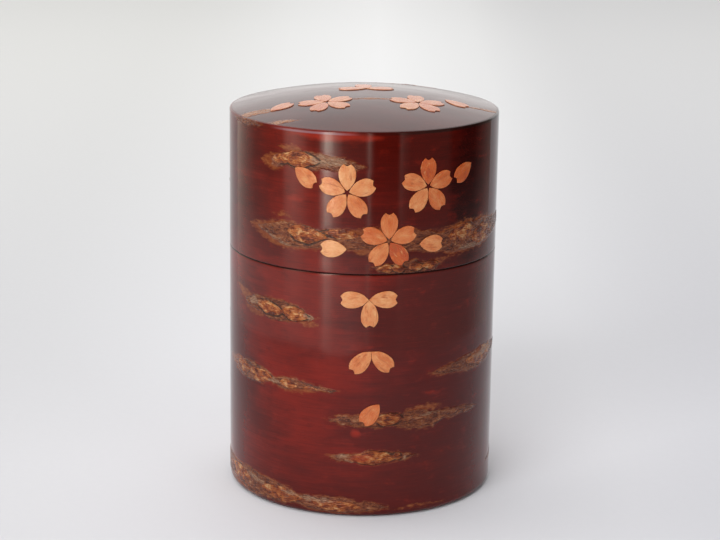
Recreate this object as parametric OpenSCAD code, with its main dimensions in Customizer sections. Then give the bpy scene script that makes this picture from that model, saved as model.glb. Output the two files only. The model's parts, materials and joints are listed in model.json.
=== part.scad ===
// Tea canister of polished cherry bark over rolled veneer. The body is a tube with a raised inner
// sleeve, the domed lid slides over that sleeve, and an inner lid with a turned knob closes its mouth.
// Petals of pale bark are glued on the wall and the crown as cherry blossoms.
// Sizes are in millimetres. The origin is the centre of the foot, +Z is up and the front faces -Y.

/* [Outside] */
// Diameter over the bark
outer_d = 80; // [74:1:96]
// Height of the body, from the table to the seam
body_h = 73.5; // [62:0.5:100]
// Height of the lid's wall, from the seam to the shoulder
lid_h = 41; // [38:0.5:60]
// Rise of the crown above the shoulder
crown_rise = 5.3; // [3:0.1:8]
// Radius of the rounded foot
foot_r = 2.1; // [1.2:0.1:3]
// Radius of the shoulder, where the crown meets the wall
shoulder_r = 0.5; // [0.2:0.05:0.6]
// Rounding of the edges that meet at the seam
seam_edge_r = 0.3; // [0.1:0.05:0.4]

/* [Layers] */
// Thickness of the bark on the outside
bark_t = 0.6; // [0.5:0.05:0.9]
// Thickness of the rolled veneer tube under the bark
core_t = 1.8; // [1.4:0.1:2.6]
// Thickness of the inner sleeve inside the body
sleeve_t = 2; // [1.8:0.1:3]
// Thickness of the thin bark that lines the inside
lining_t = 0.4; // [0.3:0.05:0.6]
// Thickness of a glue line between two layers
glue_line = 0.05; // [0.02:0.01:0.1]
// Width of the joint where the ends of a wrapped bark sheet meet, at the back
bark_joint = 0.12; // [0.05:0.01:0.3]

/* [Boards] */
// Thickness of the base board at its edge, under the core tube
base_edge_t = 3; // [2:0.1:5]
// Thickness of the lid board at its edge, on top of the core tube
lid_edge_t = 2.4; // [1.6:0.1:4]
// Depth of the step by which a board fits into its tube
register_h = 2; // [1:0.1:4]

/* [Lid fit] */
// Height of the spigot that stands above the seam
spigot_h = 18; // [12:0.5:20]
// Gap between the lid's lining and the spigot, on the radius
lid_clearance = 0.15; // [0.1:0.01:0.3]
// How far the lid's lining stops short of the seam
lid_lead = 0.5; // [0.2:0.1:2]

/* [Inner lid] */
// Thickness of the inner lid's board
inner_lid_t = 1.8; // [1.2:0.1:3]
// How far the inner lid's edge stays inside the spigot's outside
inner_lid_inset = 0.9; // [0.3:0.1:1.2]
// Depth of the plug that fits into the sleeve
plug_h = 5; // [3:0.5:7]
// Gap between the plug and the sleeve's lining, on the radius
plug_clearance = 0.15; // [0.1:0.01:0.3]
// Largest diameter of the knob
knob_d = 15; // [12:0.5:20]
// Height of the knob above the inner lid
knob_h = 6.5; // [5:0.5:8]
// Radius of the hollow round the knob's waist
knob_waist_r = 2.4; // [1.5:0.1:2.4]
// How far the knob's waist is drawn in
knob_waist_depth = 2; // [1:0.1:2.2]
// Height of the knob's waist above the inner lid
knob_waist_h = 2.6; // [2.4:0.1:3]
// Rise of the knob's domed top
knob_dome = 1; // [0.5:0.1:1.5]
// Diameter of the knob's tenon
tenon_d = 5; // [4:0.5:7]
// How far the tenon reaches into the plug
tenon_depth = 2.5; // [1:0.5:2.5]

/* [Petals] */
// Thickness of a petal
petal_t = 0.2; // [0.2:0.05:0.6]
// Length of a petal, from its base to its two tips
petal_l = 7.6; // [6:0.1:8.5]
// Largest width of a petal
petal_w = 5; // [4:0.1:5.5]
// How far from its base a petal is widest
petal_widest = 4.8; // [3.5:0.1:5.2]
// Distance over a petal's two tips
petal_tips_w = 2; // [1.4:0.1:2.8]
// Width of the blunt end at each tip
petal_tip_flat = 0.1; // [0.05:0.05:0.3]
// Depth of the notch between the tips
petal_notch = 0.6; // [0.4:0.05:1.2]
// Distance from a blossom's centre to the base of its petals
blossom_eye = 0.6; // [0.3:0.05:1]
// Gap between neighbouring petals of a blossom
petal_gap = 0.16; // [0.1:0.02:0.4]
// How far the petals of a broken blossom reach past its centre, so that they run together there
joined_reach = 0.3; // [0.1:0.05:0.6]
// Gap between the petals of a broken blossom
joined_gap = 0.06; // [0.04:0.02:0.2]
// Gap between a blossom's tips and a loose petal
drift_gap = 1; // [0.5:0.1:3]
// The same gap for the petal on the left of the low blossom, which has drifted furthest
far_drift_gap = 4; // [1:0.1:5]

/* [Hidden] */
$fn = 180;
eps = 0.01;

bark_colour = "#5a201c";
lining_colour = "#6e3428";
veneer_colour = "#c79b6b";
knob_colour = "#7a4028";
petal_colour = "#e3a06c";

// Radii of the layers, from the outside in
outer_r = outer_d / 2;
core_r = outer_r - bark_t - glue_line;
core_in_r = core_r - core_t;
sleeve_r = core_in_r - glue_line;
sleeve_in_r = sleeve_r - sleeve_t;
well_r = sleeve_in_r - glue_line - lining_t;
lid_in_r = core_in_r - glue_line - lining_t;
spigot_r = lid_in_r - lid_clearance;
spigot_core_r = spigot_r - lining_t - glue_line;

// Heights in the body
base_low_z = bark_t + glue_line;
base_flange_z = base_low_z + base_edge_t;
base_top_z = base_flange_z + register_h;
floor_z = base_top_z + glue_line + lining_t;
seam_z = body_h;
mouth_z = seam_z + spigot_h;

// Heights in the lid
shoulder_z = seam_z + lid_h;
board_seat_z = shoulder_z - lid_edge_t;
register_z = board_seat_z - register_h;
ceiling_z = register_z - glue_line - lining_t;

// The crown is part of a sphere through the shoulder's edge
crown_r = (outer_r ^ 2 + crown_rise ^ 2) / (2 * crown_rise);
crown_centre_z = shoulder_z + crown_rise - crown_r;

// The shoulder's arc touches the wall and the crown
shoulder_arc_r = min(shoulder_r, bark_t);
shoulder_x = outer_r - shoulder_arc_r;
shoulder_y = crown_centre_z + sqrt((crown_r - shoulder_arc_r) ^ 2 - shoulder_x ^ 2);
shoulder_lean = atan(shoulder_x / (shoulder_y - crown_centre_z));

// The inner lid
inner_lid_r = spigot_r - inner_lid_inset;
plug_r = well_r - plug_clearance;
plug_low_z = mouth_z - plug_h;
plug_board_z = plug_low_z + lining_t + glue_line;
inner_bark_z = mouth_z + inner_lid_t + glue_line;
knob_z = inner_bark_z + lining_t + glue_line;
knob_r = knob_d / 2;
knob_dome_r = (knob_r ^ 2 + knob_dome ^ 2) / (2 * knob_dome);
tenon_z = mouth_z - glue_line - tenon_depth;
tenon_hole_r = tenon_d / 2 + glue_line;

// Layout of the blossoms, in blossom radii: along the wall from its front line and up from the seam,
// or right and back from the crown's centre
blossom_r = blossom_eye + petal_l;
wall_left = [-0.55, 2.9];
wall_right = [2.32, 3.05];
wall_low = [0.92, 1.2];
body_three = [0.26, -0.89];
body_two = [0.36, -2.76];
body_one = [0.37, -5.07];
crown_left = [-1.34, -1.95];
crown_right = [1.89, -1.7];
crown_centre = [0.06, 0.12];

// Directions of the petals in a group, in degrees clockwise from the top, or from the back on the
// crown, and the share of the turn that each petal of the group keeps to
five_petals = [0, 72, 144, 216, 288];
five_share = 72;
three_petals = [-91, 90, 178];
three_share = 88;
two_petals = [-138, 133];
two_share = 88;
crown_three_petals = [-92, -10, 78];
crown_three_share = 82;
crown_left_turn = 13;
crown_right_turn = 6;

// Loose petals: the bearing from the blossom that each drifted from, then the direction of its tips
drift_upper_left = [-73, 126];
drift_upper_right = [77, -124];
drift_low_left = [-99, -91];
drift_low_right = [97, 93];
drift_crown_left = [-91, 52];
drift_crown_right = [61, 122];
body_one_direction = -140;

// A tube between two radii and two heights
module tube(r_in, r_out, z_low, z_high) {
    rotate_extrude()
        translate([r_in, z_low])
            square([r_out - r_in, z_high - z_low]);
}

// A flat disc between two heights
module disc(r, z_low, z_high) {
    translate([0, 0, z_low])
        cylinder(r = r, h = z_high - z_low);
}

// What a rounded corner takes away, for material to the left of and below the origin
module corner_waste(r) {
    translate([-r, -r])
        difference() {
            square(r + eps);
            circle(r);
        }
}

// The same for material to the left of and above the origin
module low_corner_waste(r) {
    mirror([0, 1])
        corner_waste(r);
}

// The half-plane profile under a sphere that lies a depth below the crown
module under_crown(depth) {
    translate([0, crown_centre_z])
        circle(crown_r - depth);
}

// What the rounded shoulder takes away
module shoulder_waste() {
    reach = 3 * shoulder_arc_r;
    crown_side = reach * [sin(shoulder_lean), cos(shoulder_lean)];
    translate([shoulder_x, shoulder_y])
        difference() {
            polygon([[0, 0], crown_side, [reach, reach], [reach, 0]]);
            circle(shoulder_arc_r);
        }
}

// The narrow slot at the back where the ends of a wrapped bark sheet meet
module bark_joint_slot(z_low, z_high) {
    translate([-bark_joint / 2, outer_r - 2 * bark_t, z_low])
        cube([bark_joint, 4 * bark_t, z_high - z_low]);
}

// Body

module body_bark() {
    color(bark_colour)
        difference() {
            rotate_extrude()
                difference() {
                    square([outer_r, seam_z]);
                    translate([outer_r, 0])
                        low_corner_waste(foot_r);
                    translate([outer_r, seam_z])
                        corner_waste(seam_edge_r);
                    difference() {
                        translate([-eps, bark_t])
                            square([outer_r - bark_t + eps, seam_z]);
                        translate([outer_r - bark_t, bark_t])
                            low_corner_waste(foot_r - bark_t);
                    }
                    translate([-eps, -eps])
                        square([outer_r - foot_r + eps, bark_t + 2 * eps]);
                }
            bark_joint_slot(foot_r, seam_z + eps);
        }
}

module body_core() {
    color(veneer_colour)
        tube(core_in_r, core_r, base_flange_z + glue_line, seam_z);
}

module base_board() {
    color(veneer_colour)
        rotate_extrude() {
            difference() {
                translate([0, base_low_z])
                    square([core_r, base_edge_t]);
                translate([core_r, base_low_z])
                    low_corner_waste(foot_r - bark_t - glue_line);
            }
            translate([0, base_low_z])
                square([core_in_r - glue_line, base_edge_t + register_h]);
        }
}

module base_bark() {
    color(bark_colour)
        disc(outer_r - foot_r - glue_line, 0, bark_t);
}

module inner_sleeve() {
    color(veneer_colour)
        rotate_extrude() {
            translate([sleeve_in_r, base_top_z + glue_line])
                square([sleeve_r - sleeve_in_r, seam_z - base_top_z - glue_line]);
            translate([sleeve_in_r, seam_z - eps])
                square([spigot_core_r - sleeve_in_r, spigot_h + eps]);
        }
}

module sleeve_lining() {
    color(lining_colour)
        tube(well_r, sleeve_in_r - glue_line, floor_z + glue_line, mouth_z);
}

module floor_lining() {
    color(lining_colour)
        disc(sleeve_in_r - glue_line, base_top_z + glue_line, floor_z);
}

module spigot_bark() {
    color(lining_colour)
        rotate_extrude()
            difference() {
                translate([spigot_core_r + glue_line, seam_z + glue_line])
                    square([lining_t, spigot_h - glue_line]);
                translate([spigot_r, mouth_z])
                    corner_waste(lining_t / 2);
            }
}

// Lid

module lid_bark() {
    color(bark_colour)
        difference() {
            rotate_extrude()
                difference() {
                    intersection() {
                        translate([outer_r - bark_t, seam_z])
                            square([bark_t, lid_h + crown_rise]);
                        under_crown(0);
                    }
                    translate([outer_r, seam_z])
                        low_corner_waste(seam_edge_r);
                    shoulder_waste();
                }
            bark_joint_slot(seam_z - eps, shoulder_z - shoulder_arc_r);
        }
}

module lid_core() {
    color(veneer_colour)
        tube(core_in_r, core_r, seam_z, board_seat_z - glue_line);
}

module lid_board() {
    color(veneer_colour)
        rotate_extrude() {
            intersection() {
                translate([0, board_seat_z])
                    square([core_r, lid_edge_t + crown_rise]);
                under_crown(bark_t + glue_line);
            }
            translate([0, register_z])
                square([core_in_r - glue_line, register_h + eps]);
        }
}

module crown_bark() {
    color(bark_colour)
        rotate_extrude()
            intersection() {
                translate([0, board_seat_z])
                    square([core_r, lid_edge_t + 2 * crown_rise]);
                difference() {
                    under_crown(0);
                    under_crown(bark_t);
                }
            }
}

module lid_lining() {
    color(lining_colour)
        tube(lid_in_r, core_in_r - glue_line, seam_z + lid_lead, ceiling_z - glue_line);
}

module lid_ceiling() {
    color(lining_colour)
        disc(core_in_r - glue_line, ceiling_z, register_z - glue_line);
}

// Inner lid

module inner_lid_board() {
    color(veneer_colour)
        tube(tenon_hole_r, inner_lid_r, mouth_z, mouth_z + inner_lid_t);
}

module inner_lid_plug() {
    color(veneer_colour)
        difference() {
            disc(plug_r, plug_board_z, mouth_z - glue_line);
            disc(tenon_hole_r, tenon_z - glue_line, mouth_z);
        }
}

module plug_lining() {
    color(lining_colour)
        disc(plug_r, plug_low_z, plug_low_z + lining_t);
}

module inner_lid_bark() {
    color(lining_colour)
        tube(tenon_hole_r, inner_lid_r, inner_bark_z, inner_bark_z + lining_t);
}

module inner_lid_knob() {
    color(knob_colour) {
        translate([0, 0, knob_z])
            rotate_extrude()
                difference() {
                    intersection() {
                        square([knob_r, knob_h]);
                        translate([0, knob_h - knob_dome_r])
                            circle(knob_dome_r);
                    }
                    translate([knob_r - knob_waist_depth + knob_waist_r, knob_waist_h])
                        circle(knob_waist_r);
                }
        disc(tenon_d / 2, tenon_z, knob_z + eps);
    }
}

// Petals

// Rounds to the micrometre, so that the arcs of a petal meet exactly
function to_micrometre(size) = round(size * 1000) / 1000;

// Two arcs that are upright where the petal is widest
module petal_sides(r, widest) {
    intersection_for (side = [-1, 1])
        translate([side * (petal_w / 2 - r), widest])
            circle(r);
}

// Outline of one petal with its base at the origin, pointing along +Y, with some extra length at its base
module petal_outline(extra = 0) {
    half_w = petal_w / 2;
    length = petal_l + extra;
    widest = petal_widest + extra;
    low_arc_r = to_micrometre((half_w ^ 2 + widest ^ 2) / petal_w);
    tip_draw = half_w - petal_tips_w / 2;
    tip_h = length - widest;
    high_arc_r = to_micrometre((tip_draw ^ 2 + tip_h ^ 2) / (2 * tip_draw));
    notch_w = petal_tips_w - 2 * petal_tip_flat;
    notch_top = length + petal_notch;
    intersection() {
        petal_sides(low_arc_r, widest);
        translate([-petal_w, -petal_w])
            square([2 * petal_w, petal_w + widest]);
    }
    difference() {
        intersection() {
            petal_sides(high_arc_r, widest);
            translate([-petal_w, widest])
                square([2 * petal_w, tip_h]);
        }
        polygon([[0, length - petal_notch], [notch_w, notch_top], [-notch_w, notch_top]]);
    }
}

// Petals round a centre, each kept inside its share of the turn so that neighbours don't cross
module petal_ring(directions, share, eye, gap) {
    apex = gap / 2 / sin(share / 2);
    reach_x = 2 * blossom_r * sin(share / 2);
    reach_y = 2 * blossom_r * cos(share / 2) + apex;
    for (direction = directions)
        rotate(-direction)
            intersection() {
                translate([0, eye])
                    petal_outline(blossom_eye - eye);
                polygon([[0, apex], [reach_x, reach_y], [-reach_x, reach_y]]);
            }
}

module whole_blossom() {
    petal_ring(five_petals, five_share, blossom_eye, petal_gap);
}

module broken_blossom(directions, share) {
    petal_ring(directions, share, -joined_reach, joined_gap);
}

// One petal by itself, centred on its length
module loose_petal(direction) {
    rotate(-direction)
        translate([0, -petal_l / 2])
            petal_outline();
}

// Where a loose petal lies that has drifted from a blossom in a direction, in blossom radii
function drifted(blossom, direction, gap) =
    blossom + (blossom_r + gap + petal_l / 2) / blossom_r * [sin(direction), cos(direction)];

// Wraps a flat outline on the wall at a place in the layout
module on_wall(place) {
    turn = place[0] * blossom_r / outer_r * 180 / PI;
    color(petal_colour)
        intersection() {
            rotate([0, 0, turn])
                translate([0, 0, seam_z + place[1] * blossom_r])
                    rotate([90, 0, 0])
                        linear_extrude(height = outer_r + 2 * petal_t)
                            children();
            tube(outer_r + glue_line, outer_r + glue_line + petal_t, 0, shoulder_z);
        }
}

// Lays a flat outline on the crown at a place in the layout
module on_crown(place) {
    color(petal_colour)
        intersection() {
            translate([place[0] * blossom_r, place[1] * blossom_r, board_seat_z])
                linear_extrude(height = lid_edge_t + 2 * crown_rise)
                    children();
            rotate_extrude()
                intersection() {
                    translate([0, board_seat_z])
                        square([outer_r, lid_edge_t + 2 * crown_rise]);
                    difference() {
                        under_crown(-glue_line - petal_t);
                        under_crown(-glue_line);
                    }
                }
        }
}

module wall_blossom(place) {
    on_wall(place)
        whole_blossom();
}

module crown_blossom(place, turn) {
    on_crown(place)
        rotate(turn)
            whole_blossom();
}

module wall_petal(blossom, drift, gap = drift_gap) {
    on_wall(drifted(blossom, drift[0], gap))
        loose_petal(drift[1]);
}

module crown_petal(blossom, drift) {
    on_crown(drifted(blossom, drift[0], drift_gap))
        loose_petal(drift[1]);
}

// Petals on the lid's wall

module wall_blossom_left() {
    wall_blossom(wall_left);
}

module wall_blossom_right() {
    wall_blossom(wall_right);
}

module wall_blossom_low() {
    wall_blossom(wall_low);
}

module wall_petal_upper_left() {
    wall_petal(wall_left, drift_upper_left);
}

module wall_petal_upper_right() {
    wall_petal(wall_right, drift_upper_right);
}

module wall_petal_low_left() {
    wall_petal(wall_low, drift_low_left, far_drift_gap);
}

module wall_petal_low_right() {
    wall_petal(wall_low, drift_low_right);
}

// Petals on the body

module body_petals_three() {
    on_wall(body_three)
        broken_blossom(three_petals, three_share);
}

module body_petals_two() {
    on_wall(body_two)
        broken_blossom(two_petals, two_share);
}

module body_petal_one() {
    on_wall(body_one)
        loose_petal(body_one_direction);
}

// Petals on the crown

module crown_blossom_left() {
    crown_blossom(crown_left, crown_left_turn);
}

module crown_blossom_right() {
    crown_blossom(crown_right, crown_right_turn);
}

module crown_petals_centre() {
    on_crown(crown_centre)
        broken_blossom(crown_three_petals, crown_three_share);
}

module crown_petal_left() {
    crown_petal(crown_left, drift_crown_left);
}

module crown_petal_right() {
    crown_petal(crown_right, drift_crown_right);
}

body_bark();
body_core();
base_board();
base_bark();
inner_sleeve();
sleeve_lining();
floor_lining();
spigot_bark();
lid_bark();
lid_core();
lid_board();
crown_bark();
lid_lining();
lid_ceiling();
inner_lid_board();
inner_lid_plug();
plug_lining();
inner_lid_bark();
inner_lid_knob();
wall_blossom_left();
wall_blossom_right();
wall_blossom_low();
wall_petal_upper_left();
wall_petal_upper_right();
wall_petal_low_left();
wall_petal_low_right();
body_petals_three();
body_petals_two();
body_petal_one();
crown_blossom_left();
crown_blossom_right();
crown_petals_centre();
crown_petal_left();
crown_petal_right();
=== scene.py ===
# %% [markdown]
# # A tea canister in polished cherry bark
#
# This lesson dresses a tea canister. Its tubes, boards, lids and joints are already modelled at their
# real size, so here we make what the hand and the eye meet: the bark with its rough spindles, the pale
# petals glued on it, the wood inside, and the soft daylight around it.

# %% Load the packed canister
import json
import math
from collections import namedtuple

import bpy
import numpy as np
from mathutils import Matrix, Vector

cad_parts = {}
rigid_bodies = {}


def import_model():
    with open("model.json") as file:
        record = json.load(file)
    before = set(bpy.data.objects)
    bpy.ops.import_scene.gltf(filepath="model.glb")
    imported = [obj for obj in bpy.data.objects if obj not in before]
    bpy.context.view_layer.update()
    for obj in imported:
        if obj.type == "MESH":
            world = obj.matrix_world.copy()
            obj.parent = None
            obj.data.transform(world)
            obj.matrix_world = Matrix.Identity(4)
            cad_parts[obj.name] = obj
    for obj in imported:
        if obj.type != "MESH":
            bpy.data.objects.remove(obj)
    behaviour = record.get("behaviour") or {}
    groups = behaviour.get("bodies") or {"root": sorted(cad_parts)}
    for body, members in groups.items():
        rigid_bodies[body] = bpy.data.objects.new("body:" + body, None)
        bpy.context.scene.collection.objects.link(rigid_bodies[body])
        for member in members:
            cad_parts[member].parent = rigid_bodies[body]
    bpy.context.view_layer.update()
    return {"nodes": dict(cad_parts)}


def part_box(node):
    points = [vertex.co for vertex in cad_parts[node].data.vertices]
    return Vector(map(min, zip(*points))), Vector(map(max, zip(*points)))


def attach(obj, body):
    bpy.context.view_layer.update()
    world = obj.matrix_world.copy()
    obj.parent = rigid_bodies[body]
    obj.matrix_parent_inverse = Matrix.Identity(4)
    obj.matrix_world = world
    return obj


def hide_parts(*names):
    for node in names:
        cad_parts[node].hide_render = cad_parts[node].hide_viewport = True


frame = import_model()
MM = 0.001

# %% [markdown]
# ## Measure before making
#
# Every piece goes where the frame says, so the sizes that the skins need are read from the nodes that
# they will cover. They could be typed in again, but then a changed canister would leave its skin behind.
# Only what a box can't tell is written here, in millimetres: the rounded foot, the crown's rise and the
# thin edges.

# %% Sizes of the canister
BARK_T = 0.6
FOOT_R = 2.1
SEAM_EDGE_R = 0.35
SHOULDER_R = 0.5
CROWN_RISE = 5.3
BARK_JOINT = 0.12
GLUE_LINE = 0.05

_, body_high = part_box("body_bark")
_, crown_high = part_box("crown_bark")
OUTER_R = body_high.x / MM
SEAM_Z = body_high.z / MM
CROWN_EDGE_R = crown_high.x / MM
CROWN_TOP_Z = crown_high.z / MM
SHOULDER_Z = CROWN_TOP_Z - CROWN_RISE
CROWN_R = (OUTER_R ** 2 + CROWN_RISE ** 2) / (2 * CROWN_RISE)
CROWN_CENTRE_Z = CROWN_TOP_Z - CROWN_R
print(f"radius {OUTER_R:.1f}, seam {SEAM_Z:.1f}, shoulder {SHOULDER_Z:.1f}, crown {CROWN_TOP_Z:.1f} mm")

# %% [markdown]
# ## The camera
#
# The photograph was taken a little from above with a long lens. Its focal length, height and tilt were
# found by fitting the two rims, the seam and the foot. A Track To constraint could aim the camera, but it
# leaves no room for a slight roll. A camera looks along its own -Z, so the directions right, up and
# backward are set as the columns of its rotation instead.

# %% Camera
FOCAL_PIXELS = 2058.6
IMAGE_W = 720
SENSOR_W = 36.0
EYE = Vector((0.0, -0.60367, 0.22394))
PITCH = math.radians(14.804)
YAW = math.radians(-0.061)
ROLL = math.radians(0.784)


def make_camera():
    data = bpy.data.cameras.new("camera")
    data.sensor_width = SENSOR_W
    data.lens = FOCAL_PIXELS / IMAGE_W * SENSOR_W
    forward = Vector((math.sin(YAW) * math.cos(PITCH), math.cos(YAW) * math.cos(PITCH), -math.sin(PITCH)))
    level = forward.cross(Vector((0, 0, 1))).normalized()
    upright = level.cross(forward)
    right = math.cos(ROLL) * level + math.sin(ROLL) * upright
    up = right.cross(forward)
    camera = bpy.data.objects.new("camera", data)
    camera.matrix_world = Matrix.Translation(EYE) @ Matrix((right, up, -forward)).transposed().to_4x4()
    bpy.context.scene.collection.objects.link(camera)
    bpy.context.scene.camera = camera
    return camera


camera = make_camera()
print(f"lens {camera.data.lens:.1f} mm")

# %% [markdown]
# ## A smooth random field
#
# Bark is irregular but not noisy: neighbouring points are alike. Blender's noise textures do that in a
# material, but real relief needs it on the mesh too. So we make value noise: random numbers on a square
# grid, blended smoothly in between. A seed makes it the same on every run.

# %% Value noise
NOISE_GRID = 256


def smooth_step(low, high, value):
    """0 before one value, 1 past the other and a soft S in between."""
    t = np.clip((value - low) / (high - low), 0, 1)
    return t * t * (3 - 2 * t)


def smooth_noise(x, y, seed):
    """A smooth random number from -1 to 1 at each point, with bumps about one unit across."""
    grid = np.random.default_rng(seed).uniform(-1, 1, (NOISE_GRID, NOISE_GRID))
    x0 = np.floor(x).astype(int)
    y0 = np.floor(y).astype(int)
    fx = smooth_step(0, 1, x - x0)
    fy = smooth_step(0, 1, y - y0)

    def corner(i, j):
        return grid[(x0 + i) % NOISE_GRID, (y0 + j) % NOISE_GRID]

    low = corner(0, 0) * (1 - fx) + corner(1, 0) * fx
    high = corner(0, 1) * (1 - fx) + corner(1, 1) * fx
    return low * (1 - fy) + high * fy


sample = smooth_noise(np.linspace(0, 3, 7), np.zeros(7), 1)
print("noise along a line:", sample.round(2))

# %% [markdown]
# ## The sizes of the petals
#
# Fallen cherry blossoms are scattered over the lid and drift down the body. They are chips of bark, all
# cut to one pattern, so a few sizes in millimetres describe them. Each could be drawn by itself, but then
# no two would match. A ring tells how the petals of a group stand round its middle: their share of the
# circle, how far from the middle they start and the gap between neighbours. The layout comes before the
# bark, which is scraped flat under each petal.

# %% Petal sizes
PETAL_L = 7.6
PETAL_W = 5.0
PETAL_TIP_L = 2.8
PETAL_TIPS_W = 2.0
PETAL_NOTCH = 0.6
PETAL_T = 0.2
BLOSSOM_EYE = 0.6
DRIFT_GAP = 1.0
FAR_DRIFT_GAP = 4.0
PETAL_GAP = 0.16
JOINED_GAP = 0.06
JOINED_REACH = 0.3
FIFTH = 72
BLOSSOM_R = BLOSSOM_EYE + PETAL_L

Ring = namedtuple("Ring", "share eye gap")
WHOLE = Ring(math.radians(FIFTH), BLOSSOM_EYE, PETAL_GAP)
BROKEN = Ring(math.radians(88), -JOINED_REACH, JOINED_GAP)
CROWN_BROKEN = Ring(math.radians(82), -JOINED_REACH, JOINED_GAP)
LOOSE = Ring(0.0, -PETAL_L / 2, 0.0)
print(f"blossom: {2 * BLOSSOM_R:.1f} mm across its tips")

# %% [markdown]
# ## Where the petals lie
#
# Chance could scatter the petals, but a maker lays each one with care, so they are a list. Places are in
# blossom radii, along the wall from its front line and up from the seam, or right and back from the
# crown's middle. A loose petal has drifted from a blossom, so its place is a bearing from there.
# Directions are in degrees clockwise from the top. A tint of 0 is pale peach and 1 is a deep orange red,
# because no two chips come from the same piece of bark.

# %% Petal places
WALL_LEFT = (-0.55, 2.9)
WALL_RIGHT = (2.32, 3.05)
WALL_LOW = (0.92, 1.2)
BODY_THREE = (0.26, -0.89)
BODY_TWO = (0.36, -2.76)
BODY_ONE = (0.37, -5.07)
CROWN_LEFT = (-1.34, -1.95)
CROWN_RIGHT = (1.89, -1.7)
CROWN_CENTRE = (0.06, 0.12)

PetalGroup = namedtuple("PetalGroup", "name body surface place ring petals")


def five(tints, turn=0):
    """Directions and tints of a whole blossom's petals."""
    return [(FIFTH * i - turn, tint) for i, tint in enumerate(tints)]


def drifted(blossom, bearing, gap=DRIFT_GAP):
    """Where a loose petal lies that has drifted from a blossom."""
    reach = (BLOSSOM_R + gap + PETAL_L / 2) / BLOSSOM_R
    turn = math.radians(bearing)
    return (blossom[0] + reach * math.sin(turn), blossom[1] + reach * math.cos(turn))


LAYOUT = [
    PetalGroup("wall_blossom_left", "lid", "wall", WALL_LEFT, WHOLE, five([0.18, 0.26, 0.46, 0.34, 0.26])),
    PetalGroup("wall_blossom_right", "lid", "wall", WALL_RIGHT, WHOLE,
               five([0.86, 0.62, 0.66, 0.34, 0.42])),
    PetalGroup("wall_blossom_low", "lid", "wall", WALL_LOW, WHOLE, five([0.60, 0.58, 0.92, 0.48, 0.62])),
    PetalGroup("wall_petal_upper_left", "lid", "wall", drifted(WALL_LEFT, -73), LOOSE, [(126, 0.42)]),
    PetalGroup("wall_petal_upper_right", "lid", "wall", drifted(WALL_RIGHT, 77), LOOSE, [(-124, 0.80)]),
    PetalGroup("wall_petal_low_left", "lid", "wall", drifted(WALL_LOW, -99, FAR_DRIFT_GAP), LOOSE,
               [(-91, 0.06)]),
    PetalGroup("wall_petal_low_right", "lid", "wall", drifted(WALL_LOW, 97), LOOSE, [(93, 0.34)]),
    PetalGroup("body_petals_three", "body", "wall", BODY_THREE, BROKEN,
               [(-91, 0.2), (90, 0.24), (178, 0.26)]),
    PetalGroup("body_petals_two", "body", "wall", BODY_TWO, BROKEN, [(-138, 0.38), (133, 0.40)]),
    PetalGroup("body_petal_one", "body", "wall", BODY_ONE, LOOSE, [(-140, 0.62)]),
    PetalGroup("crown_blossom_left", "lid", "crown", CROWN_LEFT, WHOLE,
               five([0.5, 0.35, 0.4, 0.6, 0.45], 13)),
    PetalGroup("crown_blossom_right", "lid", "crown", CROWN_RIGHT, WHOLE,
               five([0.4, 0.5, 0.55, 0.3, 0.5], 6)),
    PetalGroup("crown_petals_centre", "lid", "crown", CROWN_CENTRE, CROWN_BROKEN,
               [(-92, 0.4), (-10, 0.5), (78, 0.45)]),
    PetalGroup("crown_petal_left", "lid", "crown", drifted(CROWN_LEFT, -91), LOOSE, [(52, 0.5)]),
    PetalGroup("crown_petal_right", "lid", "crown", drifted(CROWN_RIGHT, 61), LOOSE, [(122, 0.45)]),
]
print("petal groups:", len(LAYOUT), "petals:", sum(len(group.petals) for group in LAYOUT))

# %% [markdown]
# ## The outline of a petal
#
# A cherry petal is a pointed oval with a notch in its tip. It could be traced point by point, but a knife
# cuts it in two sweeps on each side, so two arcs that meet where the petal is widest say all of it. The
# same outline tells the bark where it lies under a petal, because it is scraped flat there before the
# glue.


# %% Petal outline
def petal_length(ring):
    """Petals of a blossom reach from its eye to its tip radius, and loose ones have their full length."""
    return BLOSSOM_R - ring.eye if ring.share else PETAL_L


def petal_half_width(y, length):
    """Half the width of a petal at a distance from its base: two arcs that meet where it is widest."""
    half = PETAL_W / 2
    widest = length - PETAL_TIP_L
    low_r = (half ** 2 + widest ** 2) / PETAL_W
    draw = half - PETAL_TIPS_W / 2
    high_r = (draw ** 2 + PETAL_TIP_L ** 2) / (2 * draw)
    radius = np.where(y < widest, low_r, high_r)
    return np.sqrt(np.maximum(radius ** 2 - (y - widest) ** 2, 0)) - radius + half


SCRAPE_INNER = -0.1
SCRAPE_OUTER = -0.7


def bare_of_petals(surface, along, up):
    """1 where no petal lies on a surface, fading to 0 under each petal."""
    bare = np.ones(along.shape)
    for group in LAYOUT:
        if group.surface != surface:
            continue
        for direction, _ in group.petals:
            turn = math.radians(direction)
            dx = along - group.place[0] * BLOSSOM_R
            dy = up - group.place[1] * BLOSSOM_R
            x = dx * math.cos(turn) - dy * math.sin(turn)
            y = dx * math.sin(turn) + dy * math.cos(turn) - group.ring.eye
            length = petal_length(group.ring)
            half = petal_half_width(np.clip(y, 0, length), length)
            inside = np.minimum(half - np.abs(x), np.minimum(y, length - y))
            bare = np.minimum(bare, smooth_step(SCRAPE_INNER, SCRAPE_OUTER, inside))
    return bare


half_way = float(petal_half_width(PETAL_L / 2, PETAL_L))
print(f"petal: {PETAL_L} mm long, {2 * half_way:.1f} mm wide half way up")
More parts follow.
